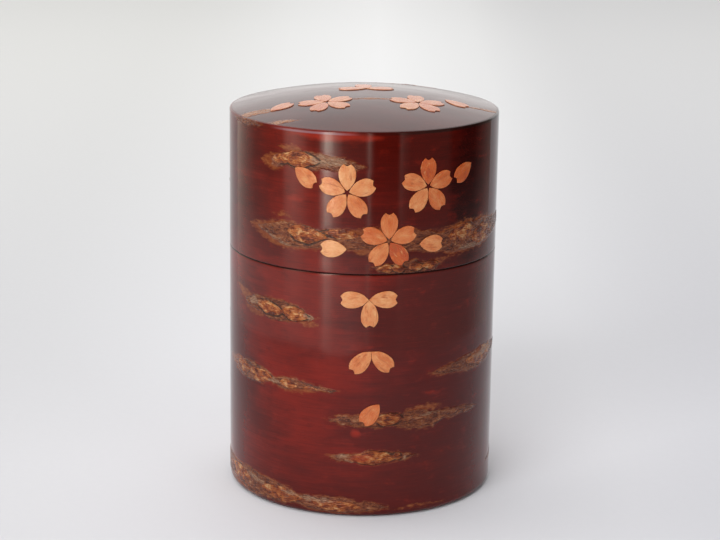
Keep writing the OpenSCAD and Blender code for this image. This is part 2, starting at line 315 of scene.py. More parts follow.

# %% [markdown]
# ## Where the bark stays rough
#
# A cherry tree breathes through long, low spindles in its bark. The maker planes and polishes the sheet
# but leaves some spindles rough, as crusts. Each is a pointed oval: a centre along the wall from its
# front line, a height over the seam, half its length, half its height and a slope, in millimetres. Noise
# could place them, but then none would lie where the real ones do, so they are given as lists, first for
# the lid's wall.

# %% Crusts of the lid's wall
Spindle = namedtuple("Spindle", "along up half_long half_high slope")

LID_CRUSTS = [
    Spindle(-18, 32.0, 11.0, 2.8, 0.00),
    Spindle(-8, 31.6, 8.0, 2.0, -0.06),
    Spindle(-24.5, 31.3, 4.8, 1.8, 0.05),
    Spindle(-20.5, 10.2, 14.5, 3.4, -0.05),
    Spindle(-6, 10.0, 13.0, 2.8, -0.05),
    Spindle(12, 9.6, 16.0, 3.3, 0.00),
    Spindle(36, 8.6, 22.0, 4.1, 0.03),
    Spindle(13, 1.9, 10.5, 2.0, 0.00),
    Spindle(-42, 40.4, 10.0, 0.9, 0.00),
    Spindle(58, 9.6, 12.0, 1.8, 0.03),
    Spindle(82, 24.3, 11.0, 2.0, 0.05),
    Spindle(89, 23.4, 8.0, 2.2, -0.04),
    Spindle(97, 24.6, 11.0, 1.2, -0.03),
    Spindle(72, 23.3, 10.0, 1.1, 0.06),
    Spindle(110, 9.4, 12.0, 2.3, -0.04),
    Spindle(102, 8.3, 10.0, 2.4, 0.03),
    Spindle(90, 9.6, 13.0, 1.5, 0.04),
    Spindle(-89, 28.4, 10.0, 2.3, -0.05),
    Spindle(-81, 27.4, 9.0, 1.9, 0.02),
    Spindle(-71, 28.2, 11.0, 1.2, -0.05),
    Spindle(-101, 27.6, 10.0, 1.1, 0.04),
    Spindle(-102, 12.4, 11.0, 2.5, 0.02),
    Spindle(-93, 11.5, 10.0, 2.2, -0.03),
    Spindle(-82, 12.6, 12.0, 1.4, 0.06),
    Spindle(-115, 11.8, 8.0, 1.3, 0.00),
    Spindle(-64, 19.0, 7.0, 1.0, 0.00),
]
print("crusts on the lid:", len(LID_CRUSTS))

# %% [markdown]
# ## What a crust holds
#
# Inside a crust lie eyes, where the bark bulges most, and softer swellings beside them. Thin flakes are
# torn near its ends. A texture could show them anywhere, but on the real lid the large eyes catch the
# light first, so each is listed, with the same five numbers as a crust.

# %% Eyes and flakes of the lid's wall
LID_EYES = [
    Spindle(-18.6, 32.2, 6.5, 2.6, 0.00),
    Spindle(-17.0, 10.8, 6.5, 2.7, -0.05),
    Spindle(6.6, 1.7, 2.4, 1.5, 0.00),
    Spindle(10.4, 1.8, 2.2, 1.5, 0.00),
    Spindle(15.5, 1.9, 2.6, 1.6, 0.00),
    Spindle(20.2, 1.9, 2.8, 1.5, 0.00),
    Spindle(84, 24.0, 5.0, 1.7, 0.03),
    Spindle(108, 9.0, 5.5, 1.9, 0.00),
    Spindle(-100, 12.2, 5.5, 2.0, 0.02),
]
LID_SWELLINGS = [
    Spindle(32.0, 10.0, 6.0, 2.8, 0.05),
    Spindle(42.5, 8.2, 7.0, 3.0, 0.05),
    Spindle(-25.5, 31.6, 3.2, 1.6, 0.00),
    Spindle(-6.0, 11.6, 6.0, 1.6, -0.05),
    Spindle(98, 8.6, 4.0, 1.7, 0.00),
    Spindle(-86, 28.0, 5.0, 1.8, -0.03),
]
LID_FLAKES = [
    Spindle(-10.7, 32.6, 5.5, 1.9, 0.00),
    Spindle(-28.0, 8.6, 8.0, 0.35, -0.21),
    Spindle(-22.0, 6.9, 5.0, 0.4, -0.12),
    Spindle(35.0, 5.2, 5.0, 0.7, -0.05),
    Spindle(86, 25.0, 4.0, 0.7, 0.00),
    Spindle(104, 10.0, 5.0, 0.8, 0.00),
    Spindle(-84, 29.0, 4.0, 0.7, 0.00),
    Spindle(-94, 13.0, 5.0, 0.8, 0.00),
]
print("on the lid:", len(LID_EYES), "eyes,", len(LID_SWELLINGS), "swellings,", len(LID_FLAKES), "flakes")

# %% [markdown]
# ## Stains, glows, painted shade and a painted highlight
#
# Round a crust the polish has cut into orange under-bark, which leaves a stain. A few spots glow a clear
# red, and one long glow at the top of the wall is a painted highlight. The wide shades are painted shade,
# darkest on the right of the wall. They are flat, so they could be painted on a picture, but the same
# pointed ovals serve, and only the finish reads them.

# %% Stains and shades of the lid's wall
Rough = namedtuple("Rough", "crusts eyes swellings flakes stains glows shades")

LID_STAINS = [
    Spindle(-22.5, 35.0, 4.0, 1.9, 0.00),
    Spindle(-27, 31.0, 5.4, 3.0, 0.00),
    Spindle(-24, 15.8, 4.0, 1.1, 0.05),
    Spindle(-22.5, 10.0, 17.0, 4.6, -0.05),
    Spindle(6, 9.8, 20.0, 4.6, 0.00),
    Spindle(36, 8.8, 25.0, 5.2, 0.03),
    Spindle(24, 3.2, 10.0, 0.9, 0.10),
    Spindle(84, 24.0, 19.0, 2.8, 0.03),
    Spindle(-88, 28.0, 20.0, 3.0, -0.03),
    Spindle(104, 9.2, 24.0, 3.2, -0.02),
    Spindle(-97, 12.0, 22.0, 3.2, 0.02),
]
LID_GLOWS_AND_PAINTED_HIGHLIGHT = [
    Spindle(-20, 21.0, 3.0, 0.8, 0.00),
    # This long glow at the top of the wall is a painted highlight.
    Spindle(-9, 39.5, 13.0, 1.6, 0.00),
    Spindle(-112, 31.0, 1.6, 0.9, 0.00),
]
# Painted shade: wide ovals that darken the ground, most of all on the right of the lid's wall.
LID_PAINTED_SHADES = [
    Spindle(34, 10.0, 50.0, 42.0, 0.00),
    Spindle(32, 36.0, 52.0, 42.0, 0.00),
    Spindle(34, 24.0, 12.5, 66.0, 0.00),
    Spindle(-33, 10.0, 11.0, 18.0, 0.00),
    Spindle(-42, 34.0, 20.0, 24.0, 0.00),
    Spindle(-46, 18.0, 25.0, 22.0, 0.00),
    Spindle(-100, 20.0, 26.0, 30.0, 0.00),
]
LID_ROUGH = Rough(LID_CRUSTS, LID_EYES, LID_SWELLINGS, LID_FLAKES,
                  LID_STAINS, LID_GLOWS_AND_PAINTED_HIGHLIGHT, LID_PAINTED_SHADES)
print("on the lid:", len(LID_STAINS), "stains,", len(LID_GLOWS_AND_PAINTED_HIGHLIGHT), "glows,", len(LID_PAINTED_SHADES), "shades")

# %% [markdown]
# ## Rough places on the body
#
# The body is wrapped in a sheet of its own. Its crusts are longer and further apart, and the largest runs
# along the foot. They are listed as the lid's are, in the same coordinates, so heights below the seam are
# negative. One list for both would be shorter, but then a crust could run across the seam.

# %% Crusts of the body
BODY_CRUSTS = [
    Spindle(-27, -12.8, 14.5, 3.2, -0.05),
    Spindle(-38, -34.0, 13.0, 2.7, -0.03),
    Spindle(-21, -34.4, 9.0, 1.7, 0.00),
    Spindle(-11.5, -34.8, 5.5, 0.8, -0.02),
    Spindle(42, -29.8, 21.0, 2.8, 0.04),
    Spindle(5, -43.7, 15.5, 1.9, 0.00),
    Spindle(17.5, -44.2, 10.0, 3.2, -0.02),
    Spindle(27, -43.9, 14.0, 1.6, -0.07),
    Spindle(4.4, -55.0, 14.5, 1.6, 0.00),
    Spindle(-36, -68.2, 22.0, 3.6, -0.06),
    Spindle(-62, -67.6, 22.0, 3.6, 0.02),
    Spindle(-9, -69.9, 18.0, 2.4, -0.03),
    Spindle(-84, -68.4, 13.0, 1.7, 0.02),
    Spindle(84, -15.6, 10.0, 2.2, 0.03),
    Spindle(91, -16.6, 8.0, 2.1, -0.03),
    Spindle(74, -16.5, 11.0, 1.2, 0.05),
    Spindle(102, -15.6, 10.0, 1.1, 0.02),
    Spindle(112, -46.3, 11.0, 2.5, -0.04),
    Spindle(103, -45.2, 10.0, 2.3, 0.03),
    Spindle(92, -45.6, 13.0, 1.4, 0.04),
    Spindle(-84, -20.6, 9.0, 2.2, 0.03),
    Spindle(-77, -21.5, 8.0, 1.9, -0.03),
    Spindle(-68, -20.7, 10.0, 1.1, 0.05),
    Spindle(-95, -21.4, 10.0, 1.2, 0.00),
    Spindle(-105, -49.6, 12.0, 2.6, 0.04),
    Spindle(-96, -50.8, 10.0, 2.4, -0.02),
    Spindle(-84, -49.6, 14.0, 1.4, 0.04),
    Spindle(-118, -50.3, 8.0, 1.4, 0.00),
    Spindle(73, -64.6, 12.0, 2.0, 0.03),
    Spindle(82, -65.6, 11.0, 2.0, -0.02),
    Spindle(95, -65.4, 12.0, 1.1, -0.02),
    Spindle(60, -64.8, 9.0, 1.1, 0.03),
    Spindle(-110, -8.0, 9.0, 1.4, 0.00),
]
print("crusts on the body:", len(BODY_CRUSTS))

# %% [markdown]
# ## What the body's crusts hold
#
# The crust at the upper left holds two clear eyes. Others hold one, or only swellings, and the one along
# the foot has torn flakes too. The eyes could be copied from the lid, but the same bulge would soon be
# seen twice, so the body has its own.

# %% Eyes and flakes of the body
BODY_EYES = [
    Spindle(-29.0, -12.9, 6.0, 2.3, -0.08),
    Spindle(-19.6, -13.3, 4.8, 2.3, -0.08),
    Spindle(8.6, -43.4, 4.8, 2.1, 0.00),
    Spindle(4.2, -55.0, 7.2, 2.3, 0.00),
    Spindle(109, -46.0, 5.5, 2.0, -0.03),
    Spindle(-83, -20.8, 5.0, 1.7, 0.02),
]
BODY_SWELLINGS = [
    Spindle(-43.0, -33.7, 4.4, 2.2, -0.06),
    Spindle(-33.5, -34.3, 5.8, 2.3, -0.04),
    Spindle(11.2, -54.8, 1.8, 1.3, 0.00),
    Spindle(-22.0, -34.5, 3.0, 1.2, 0.00),
    Spindle(-15.0, -34.8, 2.6, 0.7, 0.00),
    Spindle(44.0, -29.4, 10.0, 2.4, 0.04),
    Spindle(-25.0, -69.0, 8.0, 2.4, -0.06),
    Spindle(-46.0, -67.8, 9.0, 2.6, -0.02),
    Spindle(-8.0, -69.9, 9.0, 1.7, -0.03),
    Spindle(86, -16.0, 5.0, 1.7, 0.02),
    Spindle(-101, -50.0, 6.0, 2.0, 0.03),
]
BODY_FLAKES = [
    Spindle(-35.4, -11.8, 2.6, 1.0, -0.20),
    Spindle(-14.4, -13.4, 2.2, 0.8, -0.10),
    Spindle(-27.0, -34.6, 3.0, 0.6, 0.00),
    Spindle(46.0, -28.6, 8.0, 1.0, 0.04),
    Spindle(22.2, -42.8, 3.0, 0.4, 0.25),
    Spindle(-3.9, -54.6, 2.4, 0.5, 0.00),
    Spindle(-1.5, -56.6, 3.0, 0.4, -0.05),
    Spindle(13.8, -55.4, 1.0, 0.6, 0.00),
    Spindle(-13.5, -68.6, 5.0, 0.7, -0.03),
    Spindle(-35.0, -67.0, 5.0, 0.8, -0.08),
    Spindle(-21.5, -68.0, 3.0, 0.7, -0.05),
    Spindle(84, -15.0, 4.0, 0.8, 0.00),
    Spindle(104, -45.0, 5.0, 0.8, 0.00),
    Spindle(-80, -20.0, 4.0, 0.7, 0.00),
    Spindle(-104, -49.0, 5.0, 0.8, 0.00),
]
print("on the body:", len(BODY_EYES), "eyes,", len(BODY_SWELLINGS), "swellings,", len(BODY_FLAKES), "flakes")

# %% [markdown]
# ## Stains and painted shade of the body
#
# The body's stains follow its crusts, and its shades are wide ovals of painted shade: the right side and
# the foot of the sheet are painted the darkest. A gradient could darken them evenly, but the ovals give a
# cloudy painted shade, which the finish breaks up into streaks.

# %% Stains and shades of the body
BODY_STAINS = [
    Spindle(-42, -10.6, 5.0, 2.2, -0.30),
    Spindle(-15, -15.4, 4.0, 1.6, 0.05),
    Spindle(-37, -15.0, 6.0, 1.4, -0.20),
    Spindle(-46, -33.6, 9.0, 3.0, -0.10),
    Spindle(-20, -35.2, 10.0, 2.2, 0.00),
    Spindle(38, -30.4, 21.0, 2.6, 0.03),
    Spindle(1, -43.0, 12.0, 1.6, -0.02),
    Spindle(20, -40.8, 8.0, 1.4, 0.02),
    Spindle(5.2, -55.0, 16.0, 0.8, 0.00),
    Spindle(-46, -68.0, 34.0, 4.6, -0.03),
    Spindle(18, -71.2, 9.0, 1.0, 0.00),
    Spindle(-8, -70.4, 18.0, 2.8, -0.02),
    Spindle(108, -46.0, 24.0, 3.2, -0.03),
    Spindle(86, -16.0, 19.0, 3.0, 0.02),
    Spindle(-82, -21.0, 18.0, 2.8, 0.02),
    Spindle(-101, -50.0, 24.0, 3.4, 0.03),
    Spindle(78, -65.2, 24.0, 2.6, 0.00),
]
BODY_GLOWS = [
    Spindle(0.0, -47.4, 1.5, 1.3, 0.00),
    Spindle(22.5, -36.3, 3.0, 0.2, 0.00),
    Spindle(1.2, -55.0, 3.8, 1.5, 0.00),
    Spindle(-92, -36.0, 1.8, 0.9, 0.00),
]
# Painted shade: wide ovals that darken the ground, most of all on the right and at the foot.
BODY_PAINTED_SHADES = [
    Spindle(32, -14.0, 46.0, 36.0, 0.00),
    Spindle(32, -44.0, 48.0, 36.0, 0.00),
    Spindle(0, -76.0, 130.0, 27.0, 0.00),
    Spindle(-51, -38.0, 22.0, 38.0, 0.00),
    Spindle(-36, -48.0, 19.0, 17.0, 0.00),
    Spindle(-39, -9.0, 10.0, 16.0, 0.00),
    Spindle(21, -65.0, 38.0, 26.0, 0.00),
    Spindle(-104, -24.0, 22.0, 40.0, 0.00),
]
BODY_ROUGH = Rough(BODY_CRUSTS, BODY_EYES, BODY_SWELLINGS, BODY_FLAKES,
                   BODY_STAINS, BODY_GLOWS, BODY_PAINTED_SHADES)
print("on the body:", len(BODY_STAINS), "stains,", len(BODY_GLOWS), "glows,", len(BODY_PAINTED_SHADES), "shades")

# %% [markdown]
# ## Rough places on the crown
#
# The crown's sheet is painted the darkest, as painted shade, and only flat scars of torn bark are left on
# it. A noise could strew them, but the real ones show in a few places only, so they are listed one by one:
# right and back from the crown's middle, as they would be drawn on the round sheet before it is pressed to
# the dome.

# %% Spindles on the crown
CROWN_ROUGH = Rough(
    crusts=[
        Spindle(-31, -17.6, 8.0, 2.4, 0.06),
        Spindle(-25, -29.6, 6.5, 1.4, 0.05),
        Spindle(1.6, -12.5, 8.0, 1.0, 0.10),
        Spindle(35, -7.4, 6.0, 1.2, 0.30),
        Spindle(14, 22.0, 11.0, 1.4, 0.06),
    ],
    eyes=[
        Spindle(14, 22.0, 4.0, 1.0, 0.06),
    ],
    swellings=[],
    flakes=[
        Spindle(-31, -17.6, 8.0, 2.0, 0.06),
        Spindle(-25, -29.6, 6.0, 1.0, 0.05),
        Spindle(3.0, -12.4, 6.0, 0.7, 0.10),
        Spindle(36, -7.2, 5.0, 0.8, 0.30),
    ],
    stains=[
        Spindle(-30, -17.6, 12.0, 2.6, 0.06),
        Spindle(-26, -29.4, 9.0, 2.0, 0.05),
        Spindle(1.6, -12.6, 12.0, 1.8, 0.10),
        Spindle(34, -7.6, 9.0, 2.0, 0.30),
        Spindle(14, 22.0, 15.0, 2.0, 0.06),
    ],
    glows=[],
    shades=[],
)
print("rough places on the crown:", len(CROWN_ROUGH.crusts), "crusts,", len(CROWN_ROUGH.eyes), "eye")

# %% [markdown]
# ## From spindles to relief
#
# For each point of a sheet we ask how deep it lies inside the nearest spindle, in millimetres: positive
# inside, zero on the outline, negative outside. Crusts could be pieces of their own, but bark and crust
# are one sheet, and one depth serves both the relief and the finish. Shifting the points by noise first
# makes the outlines ragged, as torn bark is. Ridges of noise stand for the curled edges of the flakes.

# %% Depth inside the rough bark
FAR_OUTSIDE = -3.0
# How far the eye's outline is moved for the crescent of painted shadow beside it, in millimetres.
SHADOW_CRESCENT_SHIFT = 0.8
Ripple = namedtuple("Ripple", "size along up seed")
RAGGED_ALONG = [Ripple(1.6, 5.3, 2.1, 0), Ripple(0.5, 1.9, 1.0, 8)]
RAGGED_UP = [Ripple(0.45, 4.7, 2.6, 1), Ripple(0.22, 1.7, 1.1, 2)]
ROUND_ALONG = [Ripple(0.9, 3.4, 2.1, 3)]
ROUND_UP = [Ripple(0.35, 3.1, 2.4, 4)]


def ripple_noise(ripple, along, up, seed):
    return smooth_noise(along / ripple.along, up / ripple.up, seed + ripple.seed)


def rippled(ripples, along, up, seed):
    """The sum of some ripples, each with its size and its lengths in millimetres."""
    return sum(ripple.size * ripple_noise(ripple, along, up, seed) for ripple in ripples)


def depth_inside(spindles, along, up):
    """How deep each point lies inside the nearest spindle, in millimetres."""
    depth = np.full(along.shape, FAR_OUTSIDE)
    for spindle in spindles:
        u = (along - spindle.along) / spindle.half_long
        v = (up - spindle.up - spindle.slope * (along - spindle.along)) / spindle.half_high
        depth = np.maximum(depth, (1 - u * u - np.abs(v)) * spindle.half_high)
    return depth


def rough_fields(rough, along, up, seed):
    """Depths in crusts, eyes, flakes, stains, glows and painted shade, and the painted shadow by each eye.
    """
    ragged_along = along + rippled(RAGGED_ALONG, along, up, seed)
    ragged_up = up + rippled(RAGGED_UP, along, up, seed)
    round_along = along + rippled(ROUND_ALONG, along, up, seed)
    round_up = up + rippled(ROUND_UP, along, up, seed)
    eye = depth_inside(rough.eyes, round_along, round_up)
    swelling = np.maximum(eye, depth_inside(rough.swellings, round_along, round_up))
    # A crescent of painted shadow: the eye's outline moved up and down, less the eye itself.
    above = depth_inside(rough.eyes, round_along - SHADOW_CRESCENT_SHIFT / 2, round_up + SHADOW_CRESCENT_SHIFT)
    below = depth_inside(rough.eyes, round_along - SHADOW_CRESCENT_SHIFT / 2, round_up - SHADOW_CRESCENT_SHIFT / 2)
    return {
        "crust": np.maximum(depth_inside(rough.crusts, ragged_along, ragged_up), swelling),
        "eye": swelling,
        "crescent": np.maximum(above, below) - eye,
        "flake": depth_inside(rough.flakes, ragged_along, ragged_up),
        "stain": depth_inside(rough.stains, ragged_along, ragged_up),
        "glow": depth_inside(rough.glows, ragged_along, ragged_up),
        # The depth inside the ovals of painted shade.
        "shade": depth_inside(rough.shades, ragged_along, ragged_up),
    }


first = LID_ROUGH.crusts[0]
middle = depth_inside([first], np.array([first.along]), np.array([first.up]))
print(f"depth in the middle of the lid's first crust: {middle[0]:.1f} mm")

# %% [markdown]
# ## Relief of the rough bark
#
# A crust can be felt with a finger, and at the edge of the canister it breaks the smooth line of the
# wall. A bump in the material would only shade it, so the vertices themselves are lifted: a little over
# the whole crust and more in its eyes, with a groove round each eye. The polish has slow waves of a few
# hundredths of a millimetre, which bend the reflections as on the real bark.

# %% Relief of the rough bark
CRUST_LIFT = 0.03
EYE_LIFT = 0.13
EYE_GROOVE = 0.09
CRUST_RIM = 0.04
GROOVE_REACH = 0.3
CURLS = [Ripple(0.09, 2.3, 1.4, 5), Ripple(0.06, 1.2, 0.9, 6)]
POLISH_WAVES = [Ripple(0.020, 11, 7, 7), Ripple(0.006, 4.3, 3.1, 9)]


def rough_relief(fields, along, up, seed):
    """Height of the rough bark over the polished surface, in millimetres."""
    inside = smooth_step(-0.1, 0.7, fields["crust"])
    curls = sum(curl.size * (0.5 - np.abs(ripple_noise(curl, along, up, seed))) for curl in CURLS)
    swelling = EYE_LIFT * smooth_step(0.0, 1.3, fields["eye"])
    groove = -EYE_GROOVE * np.exp(-(fields["eye"] / GROOVE_REACH) ** 2)
    rim = -CRUST_RIM * np.exp(-((fields["crust"] + 0.1) / GROOVE_REACH) ** 2)
    polish = rippled(POLISH_WAVES, along, up, seed)
    return inside * (CRUST_LIFT + curls + swelling + groove) + rim + polish


print(f"relief: crusts rise {CRUST_LIFT} mm and their eyes {EYE_LIFT} mm more")

# %% [markdown]
# ## Rolling a sheet of bark round the wall
#
# The real skin is a flat sheet that was steamed, rolled round the core and butted at the back. We build
# it the same way: a closed cross-section is swept round the axis, column by column, and stops just short
# of a full turn. A Screw modifier could sweep it too, but with our own grid each vertex knows where it
# lies on the sheet, so it can carry the depths that the finish needs.


# %% Points and pieces
def arc_points(centre_r, centre_z, radius, start, end, count):
    """Points on an arc of a cross-section, with angles in degrees from level."""
    turns = np.radians(np.linspace(start, end, count))
    return [(centre_r + radius * math.cos(t), centre_z + radius * math.sin(t)) for t in turns]


def crown_z(r):
    """Height of the crown's sphere over a radius."""
    return CROWN_CENTRE_Z + np.sqrt(CROWN_R ** 2 - r * r)


def new_piece(name, points, faces, fields, sharp=35):
    """A smooth mesh from points in millimetres and fields for its vertices."""
    mesh = bpy.data.meshes.new(name)
    mesh.from_pydata((np.asarray(points) * MM).tolist(), [], faces)
    mesh.polygons.foreach_set("use_smooth", np.ones(len(mesh.polygons), bool))
    mesh.set_sharp_from_angle(angle=math.radians(sharp))
    for field, values in fields.items():
        kind = "FLOAT_VECTOR" if np.ndim(values) == 2 else "FLOAT"
        slot = "vector" if np.ndim(values) == 2 else "value"
        layer = mesh.attributes.new(field, kind, "POINT")
        layer.data.foreach_set(slot, np.asarray(values, np.float32).ravel())
    piece = bpy.data.objects.new(name, mesh)
    bpy.context.scene.collection.objects.link(piece)
    return piece


def stand_for(piece, body, node):
    """Lets a piece ride on a body in place of a plain node."""
    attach(piece, body)
    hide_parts(node)


print(f"crown: {crown_z(0.0):.1f} mm high in the middle, {crown_z(OUTER_R):.1f} mm at its edge")

# %% [markdown]
# ## From a cross-section to a sheet
#
# Now the sweep itself. Each column of the grid is the cross-section, turned to its place round the axis.
# On the outside of the wall the relief moves the points in or out. A Displace modifier could do that from
# a texture, but here it also has to fade towards the edges and under the petals, so that neighbouring
# pieces still fit.

# %% Rolling a sheet
GRID = 0.5
EDGE_FADE = 0.8
OUTSIDE_WITHIN = 0.01


def rolled_sheet(name, profile, wall_low, wall_high, rough, seed):
    """Sweeps a closed cross-section round the axis, with relief where it is the outside of the wall."""
    half_joint = BARK_JOINT / 2 / OUTER_R
    columns = int(2 * math.pi * OUTER_R / GRID)
    turns = np.linspace(-math.pi + half_joint, math.pi - half_joint, columns)
    profile_r = np.array([p[0] for p in profile])
    profile_z = np.array([p[1] for p in profile])
    rows = len(profile)
    turn = np.repeat(turns[:, None], rows, axis=1)
    radius = np.broadcast_to(profile_r, turn.shape)
    height = np.broadcast_to(profile_z, turn.shape)
    along = turn * OUTER_R
    up = height - SEAM_Z
    fields = rough_fields(rough, along, up, seed)
    outside = radius > OUTER_R - OUTSIDE_WITHIN
    fade = smooth_step(0.0, EDGE_FADE, np.minimum(height - wall_low, wall_high - height)) * outside
    fade = fade * bare_of_petals("wall", along, up)
    radius = radius + fade * rough_relief(fields, along, up, seed)
    points = np.stack([radius * np.sin(turn), -radius * np.cos(turn), height], -1).reshape(-1, 3)
    column, row = np.meshgrid(np.arange(columns - 1), np.arange(rows), indexing="ij")
    here = column * rows + row
    above = column * rows + (row + 1) % rows
    faces = np.stack([here, here + rows, above + rows, above], -1).reshape(-1, 4).tolist()
    faces.append(list(range(rows)))
    faces.append([(columns - 1) * rows + i for i in reversed(range(rows))])
    return new_piece(name, points, faces, {k: v.ravel() for k, v in fields.items()})


print("columns round the wall:", int(2 * math.pi * OUTER_R / GRID))

# %% [markdown]
# ## The bark of the body
#
# The body's sheet goes from the seam down the wall and round the foot, where it is turned under. A Bevel
# modifier could round the foot, but arcs in the cross-section have just the radius that we want. The
# straight wall between them is cut into short steps, close enough to carry the relief of the crusts.

# %% Bark of the body
BODY_SEED = 11
FOOT_FADE = FOOT_R * 0.4


def body_profile():
    """The sheet's cross-section, up the outside and down the inside, as radius and height."""
    inner_r = OUTER_R - BARK_T
    foot_x = OUTER_R - FOOT_R
    wall = np.arange(FOOT_R + GRID, SEAM_Z - SEAM_EDGE_R - GRID / 2, GRID)
    points = arc_points(foot_x, FOOT_R, FOOT_R, -90, 0, 9)
    points += [(OUTER_R, z) for z in wall]
    points += arc_points(OUTER_R - SEAM_EDGE_R, SEAM_Z - SEAM_EDGE_R, SEAM_EDGE_R, 0, 90, 6)
    points += [(inner_r, SEAM_Z)]
    points += arc_points(foot_x, FOOT_R, FOOT_R - BARK_T, 0, -90, 5)
    return points


wall_top = SEAM_Z - SEAM_EDGE_R
body_bark = rolled_sheet("bark_of_body", body_profile(), FOOT_FADE, wall_top, BODY_ROUGH, BODY_SEED)
stand_for(body_bark, "body", "body_bark")
print("bark of the body:", len(body_bark.data.polygons), "faces")

# %% [markdown]
# ## The bark of the lid's wall
#
# The lid's sheet starts at the seam and ends at the shoulder, where the crown's sheet meets it. Wall and
# crown could be one piece, but on the real lid two sheets meet, and a fine line shows it. The shoulder's
# rounding has to touch both the wall and the crown's sphere, so its centre is worked out from the two.

# %% Bark of the lid's wall
LID_SEED = 37


def lid_profile():
    """The sheet's cross-section, from the seam up the outside to the crown, as radius and height."""
    inner_r = OUTER_R - BARK_T
    shoulder_x = OUTER_R - SHOULDER_R
    shoulder_y = CROWN_CENTRE_Z + math.sqrt((CROWN_R - SHOULDER_R) ** 2 - shoulder_x ** 2)
    lean = math.degrees(math.atan2(shoulder_x, shoulder_y - CROWN_CENTRE_Z))
    wall = np.arange(SEAM_Z + SEAM_EDGE_R + GRID / 2, shoulder_y - GRID / 2, GRID)
    points = [(inner_r, SEAM_Z)]
    points += arc_points(OUTER_R - SEAM_EDGE_R, SEAM_Z + SEAM_EDGE_R, SEAM_EDGE_R, -90, 0, 6)
    points += [(OUTER_R, z) for z in wall]
    points += arc_points(shoulder_x, shoulder_y, SHOULDER_R, 0, 90 - lean, 7)
    points += [(inner_r, float(crown_z(inner_r)))]
    return points


wall_foot = SEAM_Z + SEAM_EDGE_R
wall_top = SHOULDER_Z - SHOULDER_R
lid_bark = rolled_sheet("bark_of_lid", lid_profile(), wall_foot, wall_top, LID_ROUGH, LID_SEED)
stand_for(lid_bark, "lid", "lid_bark")
print("bark of the lid:", len(lid_bark.data.polygons), "faces")

# %% [markdown]
# ## The crown
#
# The lid's top is a shallow dome, skinned with its own round sheet whose fibres run across. A sphere
# could be cut for it, but its faces would fit neither the rim nor the relief. So rings of vertices follow
# the dome, closer together than any detail. The underside is the same dome, one bark thickness lower, so
# the sheet is a closed solid like the real one.

# %% Bark of the crown
CROWN_SECTORS = 400
CROWN_STEP = 0.6
CROWN_FADE = 1.0
CROWN_SEED = 53


def crown_sheet():
    """The domed sheet: a middle point, rings of vertices, the same again below and a rim."""
    rings = np.append(np.arange(CROWN_STEP, CROWN_EDGE_R - CROWN_STEP / 2, CROWN_STEP), CROWN_EDGE_R)
    turns = np.linspace(0, 2 * math.pi, CROWN_SECTORS, endpoint=False)
    radius, turn = np.meshgrid(rings, turns, indexing="ij")
    x = np.append(0.0, (radius * np.cos(turn)).ravel())
    y = np.append(0.0, (radius * np.sin(turn)).ravel())
    r = np.hypot(x, y)
    fields = rough_fields(CROWN_ROUGH, x, y, CROWN_SEED)
    fade = smooth_step(0.0, CROWN_FADE, CROWN_EDGE_R - r) * bare_of_petals("crown", x, y)
    top = np.stack([x, y, crown_z(r) + fade * rough_relief(fields, x, y, CROWN_SEED)], -1)
    low = np.stack([x, y, CROWN_CENTRE_Z + np.sqrt((CROWN_R - BARK_T) ** 2 - r * r)], -1)
    count = len(x)
    sector = np.arange(CROWN_SECTORS)
    following = (sector + 1) % CROWN_SECTORS
    faces = [[0, 1 + i, 1 + j] for i, j in zip(sector, following)]
    for ring in range(len(rings) - 1):
        inner = 1 + ring * CROWN_SECTORS
        outer = inner + CROWN_SECTORS
        faces += [[inner + i, outer + i, outer + j, inner + j] for i, j in zip(sector, following)]
    under = [[v + count for v in reversed(face)] for face in faces]
    edge = 1 + (len(rings) - 1) * CROWN_SECTORS
    rim = [[edge + i, edge + i + count, edge + j + count, edge + j] for i, j in zip(sector, following)]
    both = {k: np.tile(v, 2) for k, v in fields.items()}
    return new_piece("bark_of_crown", np.concatenate([top, low]), faces + under + rim, both)


crown_bark = crown_sheet()
stand_for(crown_bark, "lid", "crown_bark")
print("bark of the crown:", len(crown_bark.data.polygons), "faces")

# %% [markdown]
# ## Petals
#
# Each petal is a chip of pale bark, cut to an oval with a notched tip, slightly crowned and with softened
# edges. A boolean could cut the notch, but it leaves long thin faces. A grid that runs from base to tip
# and from side to side follows the outline by itself, and closer rows at the rim make room for the soft
# edge.

# %% One petal
PETAL_SOFT_EDGE = 0.08
PETAL_CROWN = 0.04
PETAL_ROWS = 28
PETAL_COLUMNS = 21
BASE_START = 0.08
BASE_LEAST = 0.02
VEIN_DEPTH = 0.03
VEIN_REACH = 0.2


